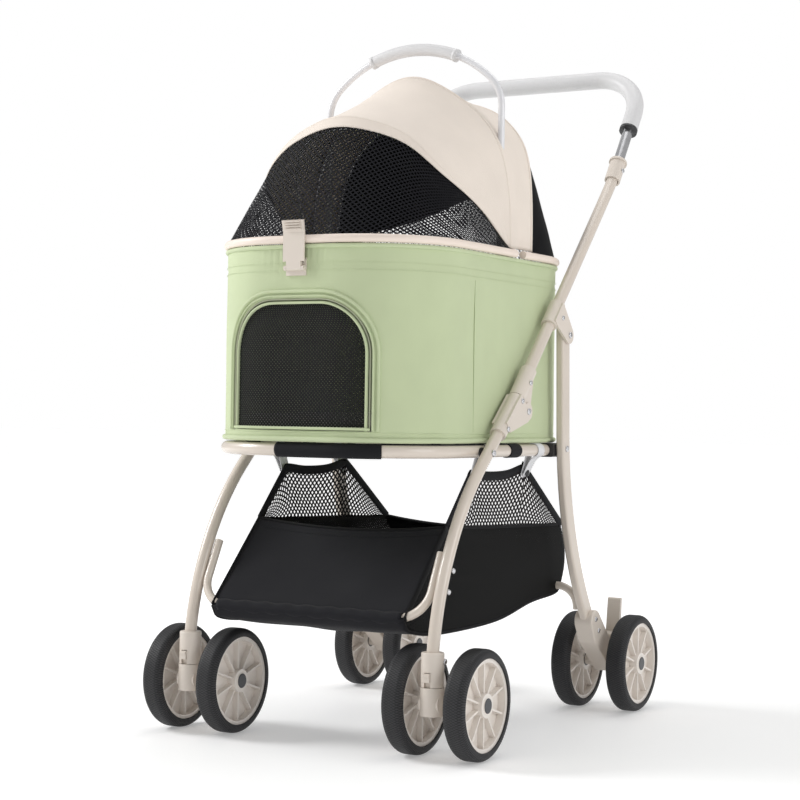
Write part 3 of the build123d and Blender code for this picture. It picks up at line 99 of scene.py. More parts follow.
# %% Floor, lights and sky
def area_light(name, location, target, size, power):
    lamp = bpy.data.lights.new(name, "AREA")
    lamp.shape, lamp.size, lamp.energy = "DISK", size, power
    light = bpy.data.objects.new(name, lamp)
    light.location = location
    light.rotation_euler = (Vector(target) - Vector(location)).to_track_quat("-Z", "Y").to_euler()
    bpy.context.scene.collection.objects.link(light)


area_light("key", (-3.4, -1.4, 2.7), (0, 0, 0.5), 1.8, 130)
area_light("fill", (3.3, -0.4, 1.6), (0, 0, 0.5), 2.0, 30)
area_light("top", (0.2, 0.8, 3.4), (0, 0, 0.4), 2.6, 30)
world = bpy.data.worlds.new("studio")
world.use_nodes = True
sky = world.node_tree
white = sky.nodes["Background"]
white.inputs[0].default_value = (1, 1, 1, 1)
white.inputs[1].default_value = 0.46
backdrop = sky.nodes.new("ShaderNodeBackground")
backdrop.inputs[1].default_value = 1.0
choice, ray = sky.nodes.new("ShaderNodeMixShader"), sky.nodes.new("ShaderNodeLightPath")
sky.links.new(ray.outputs["Is Camera Ray"], choice.inputs[0])
sky.links.new(white.outputs[0], choice.inputs[1])
sky.links.new(backdrop.outputs[0], choice.inputs[2])
backdrop.inputs[0].default_value = (1, 1, 1, 1)
sky.links.new(choice.outputs[0], sky.nodes["World Output"].inputs[0])
bpy.context.scene.world = world
bpy.context.scene.view_settings.view_transform = "Standard"

# %% [markdown]
# ## A small language for finishes
# A finish is mostly arithmetic on positions: where a thread runs, where a tread block sits. Written
# as node boxes it is hard to read, so one small class wraps a socket and lets Python's own operators
# add the Math nodes. Everything that isn't arithmetic comes from one method, add.


# %% Sockets with arithmetic
class Value:
    """A number that varies over a surface."""

    def __init__(self, finish, socket):
        self.finish, self.socket = finish, socket

    def math(self, operation, *others):
        inputs = dict(enumerate((self, *others)))
        return self.finish.add("ShaderNodeMath", {"operation": operation}, inputs)

    def __add__(self, other):
        return self.math("ADD", other)

    def __sub__(self, other):
        return self.math("SUBTRACT", other)

    def __rsub__(self, other):
        return self.finish.add("ShaderNodeMath", {"operation": "SUBTRACT"}, {0: other, 1: self})

    def __mul__(self, other):
        return self.math("MULTIPLY", other)

    def __abs__(self):
        return self.math("ABSOLUTE")

    __radd__, __rmul__ = __add__, __mul__

    def sin(self):
        return self.math("SINE")

    def below(self, limit, soft):
        """1 where the value is under limit, fading to 0 over soft."""
        settings = {"clamp": True, "interpolation_type": "SMOOTHSTEP"}
        inputs = {0: self, 1: limit - soft, 2: limit + soft, 3: 1.0, 4: 0.0}
        return self.finish.add("ShaderNodeMapRange", settings, inputs)


class Finish:
    """A material with one Principled shader; add makes every other node."""

    def __init__(self, name, color, roughness, **constants):
        self.material = bpy.data.materials.new(name)
        self.material.use_nodes = True
        self.tree = self.material.node_tree
        self.shader = self.tree.nodes["Principled BSDF"]
        self.shader.inputs["Base Color"].default_value = (*color, 1)
        self.shader.inputs["Roughness"].default_value = roughness
        for socket, value in constants.items():
            self.shader.inputs[socket.replace("_", " ")].default_value = value

    def add(self, kind, settings=None, inputs=None, output=0):
        node = self.tree.nodes.new(kind)
        for key, value in (settings or {}).items():
            setattr(node, key, value)
        for key, value in (inputs or {}).items():
            if isinstance(value, Value):
                self.tree.links.new(value.socket, node.inputs[key])
            else:
                node.inputs[key].default_value = value
        return Value(self, node.outputs[output])

    def feed(self, socket, value):
        self.tree.links.new(value.socket, self.shader.inputs[socket])

    def axes(self, source):
        """The three numbers of a Texture Coordinate output, such as Object or UV."""
        vector = self.add("ShaderNodeTexCoord", output=source)
        split = self.tree.nodes.new("ShaderNodeSeparateXYZ")
        self.tree.links.new(vector.socket, split.inputs[0])
        return [Value(self, socket) for socket in split.outputs]

    def noise(self, scale, detail=3.0, source="Object"):
        vector = self.add("ShaderNodeTexCoord", output=source)
        return self.add("ShaderNodeTexNoise", None, {"Vector": vector, "Scale": scale, "Detail": detail})

    def tint(self, factor, dark, light):
        mixed = self.add(
            "ShaderNodeMix", {"data_type": "RGBA"}, {0: factor, 6: (*dark, 1), 7: (*light, 1)}, output=2
        )
        self.feed("Base Color", mixed)

    def relief(self, height, strength, distance):
        inputs = {"Height": height, "Strength": strength, "Distance": distance}
        self.feed("Normal", self.add("ShaderNodeBump", None, inputs))


def shade(color, share):
    return tuple(channel * share for channel in color)


# %% [markdown]
# ## Paint and moulded plastic
# The tubes are sprayed in a warm cream enamel with an even gloss, and the moulded brackets match
# them but scatter light more. Both get a faint unevenness: real paint has orange peel, which shows
# as a slow ripple in the highlights and not as a colour.


# %% Enamel and plastics
def coated(name, color, roughness, coat, grain, depth):
    finish = Finish(name, color, roughness, Coat_Weight=coat, Coat_Roughness=0.12)
    cloud = finish.noise(9.0)
    finish.tint(cloud, shade(color, 0.94), shade(color, 1.04))
    finish.feed("Roughness", roughness - 0.05 + 0.1 * finish.noise(31.0))
    finish.relief(finish.noise(grain), 0.25, depth)
    return finish.material


CREAM = (0.66, 0.585, 0.51)
enamel = coated("cream_enamel", CREAM, 0.34, 0.45, 160.0, 0.0002)
cream_plastic = coated("cream_plastic", (0.68, 0.61, 0.54), 0.42, 0.1, 900.0, 0.0001)
hub_plastic = coated("hub_plastic", (0.80, 0.745, 0.69), 0.36, 0.2, 700.0, 0.0001)
rim_paint = coated("rim_piping", (0.80, 0.69, 0.61), 0.5, 0.05, 1200.0, 0.0002)
white_enamel = coated("white_enamel", (0.72, 0.72, 0.74), 0.28, 0.5, 200.0, 0.0001)
black_plastic = coated("black_plastic", (0.018, 0.018, 0.02), 0.45, 0.05, 900.0, 0.0001)
cap_plastic = coated("cap_plastic", (0.05, 0.052, 0.058), 0.5, 0.0, 900.0, 0.0001)
board_paint = coated("board", (0.36, 0.27, 0.18), 0.75, 0.0, 500.0, 0.0002)


def polished_steel():
    finish = Finish("polished_steel", (0.62, 0.62, 0.64), 0.24, Metallic=1.0)
    cloud = finish.noise(60.0)
    finish.tint(cloud, (0.52, 0.52, 0.54), (0.72, 0.72, 0.73))
    finish.feed("Roughness", 0.18 + 0.14 * cloud)
    finish.relief(finish.noise(700.0), 0.15, 0.00005)
    return finish.material


steel = polished_steel()

# %% [markdown]
# ## Foam tyres
# The tread is a fine cross-hatch that runs round the tyre. Two sets of diagonal grooves make it:
# each is a sine of the angle round the axle, plus or minus the place across the tread. The pattern
# therefore needs the axle's own centre, so each tyre gets its own copy of the finish.


# %% Tyre rubber, one for each wheel
def tyre_rubber(name, node):
    low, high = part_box(node)
    centre = (low + high) / 2
    finish = Finish(f"foam_{name}", (0.02, 0.02, 0.022), 0.62, Specular_IOR_Level=0.4)
    x, y, z = finish.axes("Object")
    angle = (z - centre.z).math("ARCTAN2", y - centre.y)
    across = (x - centre.x) * 420.0
    grooves = []
    for lean in (1, -1):
        wave = (angle * 64.0 + across * lean).sin()
        grooves.append(abs(wave).below(0.34, 0.16))
    pattern = grooves[0].math("MAXIMUM", grooves[1])
    # The grooves are painted darker than the blocks between them: painted shade in the grooves.
    finish.tint(pattern, (0.030, 0.030, 0.033), (0.010, 0.010, 0.011))
    finish.feed("Roughness", 0.52 + 0.22 * pattern)
    finish.relief(1 - pattern, 0.9, 0.0008)
    return finish.material


# %% [markdown]
# ## Cloth
# Every cloth here is a plain weave, and it differs in colour, thread size and gloss. The threads
# follow the cut of the cloth, so the pattern reads the UV map, which each sheet carries in metres.
# A slow noise adds the small shading that handling leaves. The threads' crowns are also painted lighter and the gaps
# between them darker, as painted shade.


# %% Woven cloth and nets
def woven(name, color, thread, roughness, sheen=0.1, depth=0.0003, shine=0.4):
    finish = Finish(name, color, roughness, Sheen_Weight=sheen, Sheen_Roughness=0.5, Specular_IOR_Level=shine)
    u, v, _ = finish.axes("UV")
    step = math.pi / thread
    weave = abs((u * step).sin() * (v * step).sin())
    cloud = finish.noise(14.0)
    # Noise gives an uneven tone; the weave term paints the crowns lighter and the gaps darker as painted shade.
    finish.tint(0.6 * cloud + 0.4 * weave, shade(color, 0.86), shade(color, 1.1))
    finish.feed("Roughness", roughness + 0.08 * cloud)
    finish.relief(weave + 0.8 * finish.noise(60.0), 0.35, depth)
    return finish.material


def net(name, color, cell, cord, slant=1.0, flap=None):
    """Open mesh: two sets of cords that cross, with the holes cut out by Alpha."""
    finish = Finish(name, color, 0.7, Specular_IOR_Level=0.12)
    u, v, _ = finish.axes("UV")
    width, height = math.pi / cell[0], math.pi / cell[1]
    cords = [abs((u * width + v * height * lean).sin()) for lean in (slant, -slant)]
    thin = cords[0].math("MINIMUM", cords[1])
    solid = thin.below(cord, 0.06)
    if flap:
        x, _, z = finish.axes("Object")
        solid = solid.math("MAXIMUM", 1 - (z - abs(x) * flap[1]).below(flap[0], 0.001))
        solid = solid.math("MAXIMUM", 1 - abs(x).below(flap[2], 0.001))
    # Each cord is painted lighter along its middle and darker at its edges: a painted highlight and painted shade that
    # round it.
    finish.tint(thin.below(cord * 0.5, 0.1), shade(color, 0.7), shade(color, 1.5))
    finish.feed("Alpha", solid)
    finish.relief(solid, 0.5, 0.0006)
    finish.material.surface_render_method = "DITHERED"
    return finish.material


GREEN = (0.525, 0.598, 0.372)
PINK_CREAM = (0.80, 0.715, 0.635)
tub_cloth = woven("tub_cloth", GREEN, 0.0007, 0.72)
tub_binding = woven("tub_binding", shade(GREEN, 1.02), 0.0005, 0.62)
zip_tape = woven("zip_tape", (0.40, 0.42, 0.30), 0.0009, 0.6)
canopy_cloth = woven("canopy_cloth", PINK_CREAM, 0.0008, 0.7)
cushion_cloth = woven("cushion_cloth", (0.60, 0.56, 0.50), 0.0012, 0.85, 0.5)
canvas = woven("black_canvas", (0.016, 0.016, 0.019), 0.0010, 0.85, 0.06, shine=0.12)
binding = woven("black_binding", (0.009, 0.009, 0.010), 0.0012, 0.8, 0.05, shine=0.15)
webbing = woven("white_webbing", (0.74, 0.74, 0.76), 0.0016, 0.62)
black_web = woven("black_webbing", (0.011, 0.011, 0.013), 0.0018, 0.8, 0.05, shine=0.15)
canopy_net = net("canopy_net", (0.006, 0.006, 0.008), (0.0085, 0.0085), 0.56)
door_net = net("door_net", (0.014, 0.015, 0.013), (0.0055, 0.0055), 0.80)
basket_net = net("basket_net", (0.014, 0.012, 0.012), (0.0105, 0.0105), 0.52)
side_net = net("basket_side_net", (0.007, 0.007, 0.007), (0.0065, 0.0065), 0.86)
panel_net = net("back_net", (0.005, 0.005, 0.006), (0.0085, 0.0085), 0.25, flap=(0.804, -0.33, 0.166))


def leatherette():
    color = (0.66, 0.655, 0.66)
    finish = Finish("pale_leatherette", color, 0.46, Coat_Weight=0.15, Coat_Roughness=0.3)
    grain = finish.add(
        "ShaderNodeTexVoronoi", {"feature": "DISTANCE_TO_EDGE"},
        {"Vector": finish.add("ShaderNodeTexCoord", output="Object"), "Scale": 620.0},
    )
    creases = grain.below(0.08, 0.06)
    # The grain's creases are painted darker than the rest as painted shade; the slow noise only makes the tone uneven.
    finish.tint(creases * 0.5 + 0.3 * finish.noise(25.0), shade(color, 1.04), shade(color, 0.86))
    finish.feed("Roughness", 0.42 + 0.14 * creases)
    finish.relief(1 - creases, 0.3, 0.0003)
    return finish.material


leather = leatherette()
print("finishes", len(bpy.data.materials))

# %% [markdown]
# ## Tools for cloth and cord
# Almost every soft piece is a flat grid of cloth that is bent over a wire, a rim or a bar. One
# function makes the grid with Blender's own operator, asks a small placing function where each point
# belongs, and writes the cut's size in metres into the UV map. A second one rolls the same grid round
# a line, which gives every binding, piping and grip.


# %% Sheets and tubes
def link(name, bm, material, smooth=True):
    mesh = bpy.data.meshes.new(name)
    bm.to_mesh(mesh)
    bm.free()
    for polygon in mesh.polygons:
        polygon.use_smooth = smooth
    piece = bpy.data.objects.new(name, mesh)
    mesh.materials.append(material)
    bpy.context.scene.collection.objects.link(piece)
    return piece


def grid(columns, rows, size, put):
    """A grid whose point at (u, v), each 0 to 1, goes to put(u, v); its UV map is in metres."""
    bm = bmesh.new()
    bmesh.ops.create_grid(bm, x_segments=columns, y_segments=rows, size=0.5)
    share = {vert: (vert.co.x + 0.5, vert.co.y + 0.5) for vert in bm.verts}
    layer = bm.loops.layers.uv.new("cut")
    for face in bm.faces:
        for loop in face.loops:
            u, v = share[loop.vert]
            loop[layer].uv = (u * size[0], v * size[1])
    for vert, (u, v) in share.items():
        vert.co = put(u, v)
    return bm


def settle(piece):
    """Makes the modifiers' result the piece's own mesh."""
    graph = bpy.context.evaluated_depsgraph_get()
    mesh = bpy.data.meshes.new_from_object(piece.evaluated_get(graph))
    piece.modifiers.clear()
    piece.data = mesh
    return piece


def cloth(name, columns, rows, size, put, material, thickness=0.0012, closed=False):
    bm = grid(columns, rows, size, put)
    if closed:
        bmesh.ops.remove_doubles(bm, verts=bm.verts, dist=1e-5)
    bmesh.ops.recalc_face_normals(bm, faces=bm.faces)
    piece = link(name, bm, material)
    wall = piece.modifiers.new("thickness", "SOLIDIFY")
    wall.thickness, wall.offset = thickness, 0
    return settle(piece)


def tube(name, points, radius, material, closed=False, sides=12, flat=1.0, facing=None):
    """A tube round a line of points. flat presses it towards the line's side, as a flat binding is."""
    count = len(points)
    tangents = []
    for i in range(count):
        before = points[(i - 1) % count] if closed else points[max(i - 1, 0)]
        after = points[(i + 1) % count] if closed else points[min(i + 1, count - 1)]
        tangents.append((after - before).normalized())
    guide = facing or Vector((0, 0, 1))
    across = tangents[0].cross(guide)
    across = across.normalized() if across.length > 0.05 else tangents[0].cross(Vector((1, 0, 0))).normalized()
    frames = []
    for tangent in tangents:
        across = (across - tangent * across.dot(tangent)).normalized()
        frames.append((across, tangent.cross(across)))
    length = sum((points[i + 1] - points[i]).length for i in range(count - 1))
    columns = count if closed else count - 1

    def put(u, v):
        i = round(u * columns) % count
        side, rise = frames[i]
        turn = 2 * math.pi * v
        return points[i] + side * radius * math.cos(turn) + rise * radius * flat * math.sin(turn)

    bm = grid(columns, sides, (length, 2 * math.pi * radius), put)
    bmesh.ops.remove_doubles(bm, verts=bm.verts, dist=1e-6)
    if not closed:
        bmesh.ops.holes_fill(bm, edges=[edge for edge in bm.edges if edge.is_boundary], sides=0)
    bmesh.ops.recalc_face_normals(bm, faces=bm.faces)
    return link(name, bm, material)


def stitches(name, points, normals, pitch, length, radius, material):
    """A row of short thread runs along a line, as one piece."""
    bm = bmesh.new()
    travelled = 0.0
    for i in range(len(points) - 1):
        step = points[i + 1] - points[i]
        travelled += step.length
        if travelled < pitch:
            continue
        travelled = 0.0
        run = step.normalized()
        turn = run.to_track_quat("X", "Z").to_matrix().to_4x4()
        scale = Matrix.Diagonal((length / 2, radius, radius, 1))
        spot = Matrix.Translation(points[i] + normals[i] * radius * 0.4)
        bmesh.ops.create_icosphere(bm, subdivisions=1, radius=1.0, matrix=spot @ turn @ scale)
    return link(name, bm, material)


class Route:
    """A smooth line through a few points, read by its share of the length."""

    def __init__(self, points, steps=24):
        ends = [2 * points[0] - points[1], *points, 2 * points[-1] - points[-2]]
        self.points = [points[0]]
        for i in range(1, len(ends) - 2):
            a, b, c, d = ends[i - 1 : i + 3]
            for k in range(1, steps + 1):
                t = k / steps
                bend = (2 * b + (c - a) * t + (2 * a - 5 * b + 4 * c - d) * t ** 2
                        + (3 * b - a - 3 * c + d) * t ** 3)
                self.points.append(bend / 2)
        self.distances = [0.0]
        for a, b in zip(self.points, self.points[1:]):
            self.distances.append(self.distances[-1] + (b - a).length)
        self.length = self.distances[-1]

    def at(self, share):
        target = share * self.length
        for i in range(1, len(self.points)):
            if self.distances[i] >= target:
                span = self.distances[i] - self.distances[i - 1]
                part = (target - self.distances[i - 1]) / span if span else 0
                return self.points[i - 1].lerp(self.points[i], part)
        return self.points[-1].copy()

    def spaced(self, count):
        return [self.at(i / (count - 1)) for i in range(count)]


def spot(x, y, z):
    """A point in the row frame from the design's own millimetres."""
    return Vector((x / 1000, y / 1000 + SHIFT, z / 1000))


# %% [markdown]
# ## The carrier's plan
# The tub is an oval with two straight sides: a rounded rectangle seen from above. Everything sewn to
# it follows this outline, so it becomes a small class that walks round the oval by distance.


# %% Walk round the oval
class Oval:
    """A rounded rectangle; distance 0 is the middle of the rear, and it runs towards +X."""

    def __init__(self, half, front, rear, corner):
        flat, side, arc = half - corner, rear - front - 2 * corner, corner * math.pi / 2
        self.corner = corner
        self.parts = [
            (flat, Vector((0, rear)), 90), (arc, Vector((flat, rear - corner)), 90),
            (side, Vector((half, rear - corner)), 0), (arc, Vector((flat, front + corner)), 0),
            (2 * flat, Vector((flat, front)), -90), (arc, Vector((-flat, front + corner)), -90),
            (side, Vector((-half, front + corner)), -180), (arc, Vector((-flat, rear - corner)), -180),
            (flat, Vector((-flat, rear)), -270),
        ]
        self.length = sum(part[0] for part in self.parts)

    def at(self, distance):
        """(point, outward normal) in plan."""
        distance %= self.length
        for i, (length, start, angle) in enumerate(self.parts):
            if distance <= length or i == len(self.parts) - 1:
                break
            distance -= length
        if i % 2 == 0:
            normal = Vector((math.cos(math.radians(angle)), math.sin(math.radians(angle))))
            return start + Vector((normal.y, -normal.x)) * distance, normal
        turn = math.radians(angle) - distance / self.corner
        normal = Vector((math.cos(turn), math.sin(turn)))
        return start + normal * self.corner, normal

    def distance_at_side(self, y):
        """How far round the +X side's point at y lies."""
        return self.parts[0][0] + self.parts[1][0] + self.parts[2][1].y - y


TUB_LOW, TUB_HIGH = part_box("tub")[0].z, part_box("tub")[1].z
HALF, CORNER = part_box("tub")[1].x, 0.137
tub_oval = Oval(HALF, FRONT_Y, REAR_Y, CORNER)
FRONT_CENTRE = tub_oval.length / 2


def wall(distance, z, lift=0.0):
    point, normal = tub_oval.at(distance)
    return Vector((point.x + normal.x * lift, point.y + normal.y * lift, z))


def wall_normal(distance):
    normal = tub_oval.at(distance)[1]
    return Vector((normal.x, normal.y, 0))


print("round the tub", round(tub_oval.length, 3), "m")

# %% [markdown]
# ## The arched door
# The door is a net panel in an arch, closed by a zip. The arch is straight below and rounded above, so
# one function gives its half-width at a height, and another walks along its edge for the zip tapes
# and the piping.

# %% Arch
DOOR_LOW, DOOR_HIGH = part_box("door_panel")[0].z - 0.001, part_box("door_panel")[1].z + 0.001
DOOR_HALF, DOOR_ROUND = 0.112, 0.075


def arch_half_width(z, grow=0.0):
    above = z - (DOOR_HIGH - DOOR_ROUND)
    radius = DOOR_ROUND + grow
    if above <= 0:
        return DOOR_HALF + grow
    return DOOR_HALF - DOOR_ROUND + math.sqrt(max(radius ** 2 - above ** 2, 0))


def arch_edge(grow, count=90, low=DOOR_LOW):
    """Points (distance, z) up one side of the arch, over it and down the other."""
    straight = DOOR_HIGH - DOOR_ROUND - low
    radius = DOOR_ROUND + grow
    flat = 2 * (DOOR_HALF - DOOR_ROUND)
    lengths = [straight, radius * math.pi / 2, flat, radius * math.pi / 2, straight]
    points = []
    for i in range(count):
        d = sum(lengths) * i / (count - 1)
        part = 0
        while part < 4 and d > lengths[part]:
            d -= lengths[part]
            part += 1
        if part in (0, 4):
            z = low + d if part == 0 else DOOR_HIGH - DOOR_ROUND - d
            points.append(((-1 if part == 0 else 1) * (DOOR_HALF + grow), z))
        elif part == 2:
            points.append((d - flat / 2, DOOR_HIGH + grow))
        else:
            turn = d / radius
            side = -1 if part == 1 else 1
            out, rise = (math.cos(turn), math.sin(turn)) if part == 1 else (math.sin(turn), math.cos(turn))
            points.append((side * (flat / 2 + radius * out), DOOR_HIGH - DOOR_ROUND + radius * rise))
    return points


def on_wall(points, lift):
    return [wall(FRONT_CENTRE + d, z, lift) for d, z in points]


# %% [markdown]
# ## The tub's wall
# The wall is one long strip of green cloth over a stiff liner, so it is smooth but not perfect: it
# ripples slightly, and it gathers under the rim where the latch pulls. The door's hole is cut from the
# finished wall with a Boolean, as scissors would.

# %% Wall with its door hole
LATCH_HALF = 0.045


def wall_shape(u, v):
    distance = u * tub_oval.length
    z = TUB_LOW + v * (TUB_HIGH - TUB_LOW)
    ripple = 0.0016 * noise.noise(Vector((distance * 9, z * 7, 0.3)))
    fine = 0.0005 * noise.noise(Vector((distance * 42, z * 14, 4.1)))
    from_latch = abs(distance - FRONT_CENTRE)
    near = math.exp(-((from_latch / LATCH_HALF) ** 2)) * math.exp(-(((TUB_HIGH - z) / 0.03) ** 2))
    gather = 0.0022 * near * math.sin(distance * 620)
    band = -0.0011 * math.exp(-(((z - (TUB_HIGH - 0.029)) / 0.0016) ** 2))
    return wall(distance, z, ripple + fine + gather + band - 0.0006)


tub_wall = cloth("tub_wall", 420, 54, (tub_oval.length, TUB_HIGH - TUB_LOW), wall_shape, tub_cloth, 0.0022, True)
bm = bmesh.new()
hole = [bm.verts.new((-d, FRONT_Y - 0.05, z)) for d, z in arch_edge(0.0, 60, DOOR_LOW)]
face = bm.faces.new(hole)
swept = bmesh.ops.extrude_face_region(bm, geom=[face])
moved = [item for item in swept["geom"] if isinstance(item, bmesh.types.BMVert)]
bmesh.ops.translate(bm, verts=moved, vec=(0, 0.13, 0))
bmesh.ops.recalc_face_normals(bm, faces=bm.faces)
scissors = link("scissors", bm, tub_cloth)
cut = tub_wall.modifiers.new("door hole", "BOOLEAN")
cut.operation, cut.object, cut.solver = "DIFFERENCE", scissors, "EXACT"
settle(tub_wall)
bpy.data.objects.remove(scissors)
for polygon in tub_wall.data.polygons:
    polygon.use_smooth = True
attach(tub_wall, "carrier")
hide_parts("tub")
print("tub wall faces", len(tub_wall.data.polygons))

# %% [markdown]
# The tub's floor is the same cloth stretched under the board; it is an oval disc, made by walking in
# from the wall's foot to the middle.


# %% Tub floor
def floor_shape(u, v):
    edge = wall(u * tub_oval.length, TUB_LOW + 0.0012, -0.002)
    middle = Vector((0, (FRONT_Y + REAR_Y) / 2, TUB_LOW + 0.0016))
    return edge.lerp(middle, v * 0.995)


tub_floor = cloth("tub_floor", 160, 10, (tub_oval.length, 0.18), floor_shape, tub_cloth, 0.0018, True)
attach(tub_floor, "carrier")

# %% [markdown]
# ## Piping, top band and stitching
# The foot of the wall is finished with a cord in a green bias strip, and under the rim runs a folded
# band that two rows of thread hold. The rows are real thread runs: at this size they catch the light
# as a dotted line.

# %% Piping and stitching on the tub
steps = 360
round_tub = [i / steps * tub_oval.length for i in range(steps)]
foot_piping = tube("foot_piping", [wall(d, TUB_LOW + 0.004, 0.0012) for d in round_tub], 0.0036, tub_binding, True)
top_fold = tube("top_fold", [wall(d, TUB_HIGH - 0.003, 0.0008) for d in round_tub], 0.0030, tub_binding, True)
seam_tape = tube("foot_band", [wall(d, TUB_LOW + 0.0135, 0.0004) for d in round_tub], 0.0009, tub_binding, True, 8)
pieces = [foot_piping, top_fold, seam_tape]
fine_walk = [i / 1500 * tub_oval.length for i in range(1501)]
for name, z in (("upper", TUB_HIGH - 0.026), ("lower", TUB_HIGH - 0.036)):
    row = [wall(d, z, 0.0012) for d in fine_walk]
    pieces.append(stitches(f"stitches_{name}", row, [wall_normal(d) for d in fine_walk], 0.0042, 0.0028,
                           0.00035, tub_binding))
for piece in pieces:
    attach(piece, "carrier")
for side in (-1, 1):
    seam_distance = FRONT_CENTRE + side * 0.30
    seam = [wall(seam_distance, TUB_LOW + 0.016 + i * 0.004, 0.0006) for i in range(54)]
    stripe = tube(f"side_seam_{'left' if side < 0 else 'right'}", seam, 0.0007, tub_cloth, sides=6)
    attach(stripe, "carrier")

# %% [markdown]
# ## Door panel, zip and piping
# The net is a sheet that narrows with the arch. On the door's own edge sits a thin binding, outside
# it the zip with its teeth, and then the tub's green piping. The door's pieces ride on the door, so
# the zip opens between the two.


# %% Door
def door_shape(u, v):
    z = DOOR_LOW + 0.003 + v * (DOOR_HIGH - DOOR_LOW - 0.006)
    reach = arch_half_width(z, -0.004)
    slack = 0.003 * math.sin(math.pi * u) * math.sin(math.pi * v)
    return wall(FRONT_CENTRE + (2 * u - 1) * reach, z, -0.0022 - slack)


door_size = (2 * DOOR_HALF, DOOR_HIGH - DOOR_LOW)
door_panel = cloth("door_net_panel", 64, 48, door_size, door_shape, door_net, 0.0008)
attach(door_panel, "door")
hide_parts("door_panel")
inner_edge = on_wall(arch_edge(-0.005), -0.0010)
door_binding = tube("door_binding", inner_edge, 0.0034, tub_binding, flat=0.6)
zip_coil = tube("zip_coil", on_wall(arch_edge(-0.0004), 0.0004), 0.0012, zip_tape, sides=8)
sill = [wall(FRONT_CENTRE + (2 * i / 60 - 1) * DOOR_HALF, DOOR_LOW + 0.003, 0.0002) for i in range(61)]
door_sill = tube("door_sill_binding", sill, 0.0030, tub_binding, flat=0.7)
for piece in (door_binding, zip_coil, door_sill):
    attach(piece, "door")
outer_tape = tube("zip_tape_outer", on_wall(arch_edge(0.0045), 0.0005), 0.0040, tub_binding, flat=0.35)
arch_piping = tube("arch_piping", on_wall(arch_edge(0.0105), 0.0014), 0.0026, tub_binding)
for piece in (outer_tape, arch_piping):
    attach(piece, "carrier")

# %% [markdown]
# ## Bows and edges of the canopy
# Three curved lines hold the canopy: the front edge on the swinging bow, the crease over the fixed
# bow, and the rear edge. Each is a smooth route through points on one half, mirrored for the other,
# and a panel is simply the cloth between two of them with a little slack.


# %% Canopy lines
def mirrored_route(half):
    """half runs from the foot on +X to the middle; points are in the design's millimetres."""
    rough = Route([spot(-x, y, z) for x, y, z in half] + [spot(*point) for point in reversed(half[:-1])])
    line = rough.spaced(91)
    for _ in range(14):
        line = [line[0], *((a + 2 * b + c) / 4 for a, b, c in zip(line, line[1:], line[2:])), line[-1]]
    return Route(line, 3)


CREASE = ((172, 705), (171, 763), (164, 819), (155, 849), (143, 876), (116, 907), (86, 930), (35, 960), (0, 969))
BOW_Y = -78.0
front_edge = mirrored_route([
    (171, -99, 709), (170, -153, 741), (164, -201, 770), (144, -256, 804), (116, -265, 835), (87, -271, 857),
    (0, -287, 880),
])
crease = mirrored_route([(x, -91, z) for x, z in CREASE])
rear_edge = mirrored_route([
    (172, -22, 705), (171, -20, 763), (165, -14, 819), (157, -7, 849), (145, 0, 874), (118, 9, 903), (87, 15, 925),
    (35, 20, 942), (0, 21, 946),
])
SIDE_REAR = tub_oval.distance_at_side(spot(0, -20, 0).y)
SIDE_FRONT = tub_oval.distance_at_side(spot(0, -100, 0).y)
RIM_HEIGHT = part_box("tub_rim")[1].z - 0.003


def rear_rim(u):
    return wall(SIDE_REAR * (2 * u - 1), RIM_HEIGHT, -0.001)


def front_rim(u):
    distance = tub_oval.length - SIDE_FRONT + u * (2 * SIDE_FRONT - tub_oval.length)
    return wall(distance, RIM_HEIGHT, 0.0)


def between(first, second, slack, centre):
    """A panel from one line to another; slack above 0 swells away from centre."""
    def put(u, v):
        point = first(u).lerp(second(u), v)
        swell = slack * math.sin(math.pi * v) * math.sin(math.pi * u) ** 0.7
        wave = 0.0012 * noise.noise(Vector((u * 7, v * 4, 9.7))) * math.sin(math.pi * v)
        return point + (point - centre).normalized() * (swell + wave)
    return put


def shown_area(piece):
    return sum(polygon.area for polygon in piece.data.polygons) / 2


# %% [markdown]
# ## Canopy panels
# The two cloth panels are smooth and pale. The net below the front edge is black and open enough to
# let light through at its corners, and it swells outwards a little because nothing holds its middle.
# The back is a black flap with net corners.

# %% Canopy
heart = spot(0, -120, 760)
canopy_front = cloth("canopy_front_panel", 120, 26, (0.74, 0.22), between(crease.at, front_edge.at, -0.004, heart),
                     canopy_cloth, 0.0016)
spot(0, -91, 960)
spot(0, -285, 878)
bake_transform(canopy_front)
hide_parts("canopy_front")
canopy_rear = cloth("canopy_rear_panel", 120, 18, (0.74, 0.12), between(crease.at, rear_edge.at, -0.003, heart),
                    canopy_cloth, 0.0016)
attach(canopy_rear, "carrier")
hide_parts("canopy_rear")
canopy_back = cloth("canopy_back", 120, 30, (0.74, 0.27), between(rear_edge.at, rear_rim, 0.004, heart),
                    panel_net, 0.0010)
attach(canopy_back, "carrier")
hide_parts("canopy_back_panel")
front_net_shape = between(front_edge.at, front_rim, 0.0, heart)
net_front = cloth("front_net", 120, 40, (0.72, 0.21), front_net_shape,
                  canopy_net, 0.0008)
spot(0, -288, 880)
spot(0, -393, 703)
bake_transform(net_front)
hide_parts("front_mesh")
for piece, flat, area, rests, cloth_slot in (
    (canopy_front, (0.74, 0.22), 0.090, ["fixed_bows", "front_bow"], "canopy_cloth"),
    (canopy_rear, (0.74, 0.12), 0.045, ["fixed_bows"], "canopy_cloth"),
    (canopy_back, (0.74, 0.27), 0.14, ["fixed_bows", "tub_rim"], "black_mesh"),
    (net_front, (0.72, 0.21), 0.11, ["front_bow", "lid_rim"], "black_mesh"),
):
    print(piece.name, "area", round(shown_area(piece), 4), "declared", area)
    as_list(rests)


def hem_shape(u, v):
    point = front_net_shape(u, 0.001 + v * 0.085 * math.sin(math.pi * min(max(u, 0.04), 0.96)) ** 0.5)
    return point + (point - heart).normalized() * 0.0016


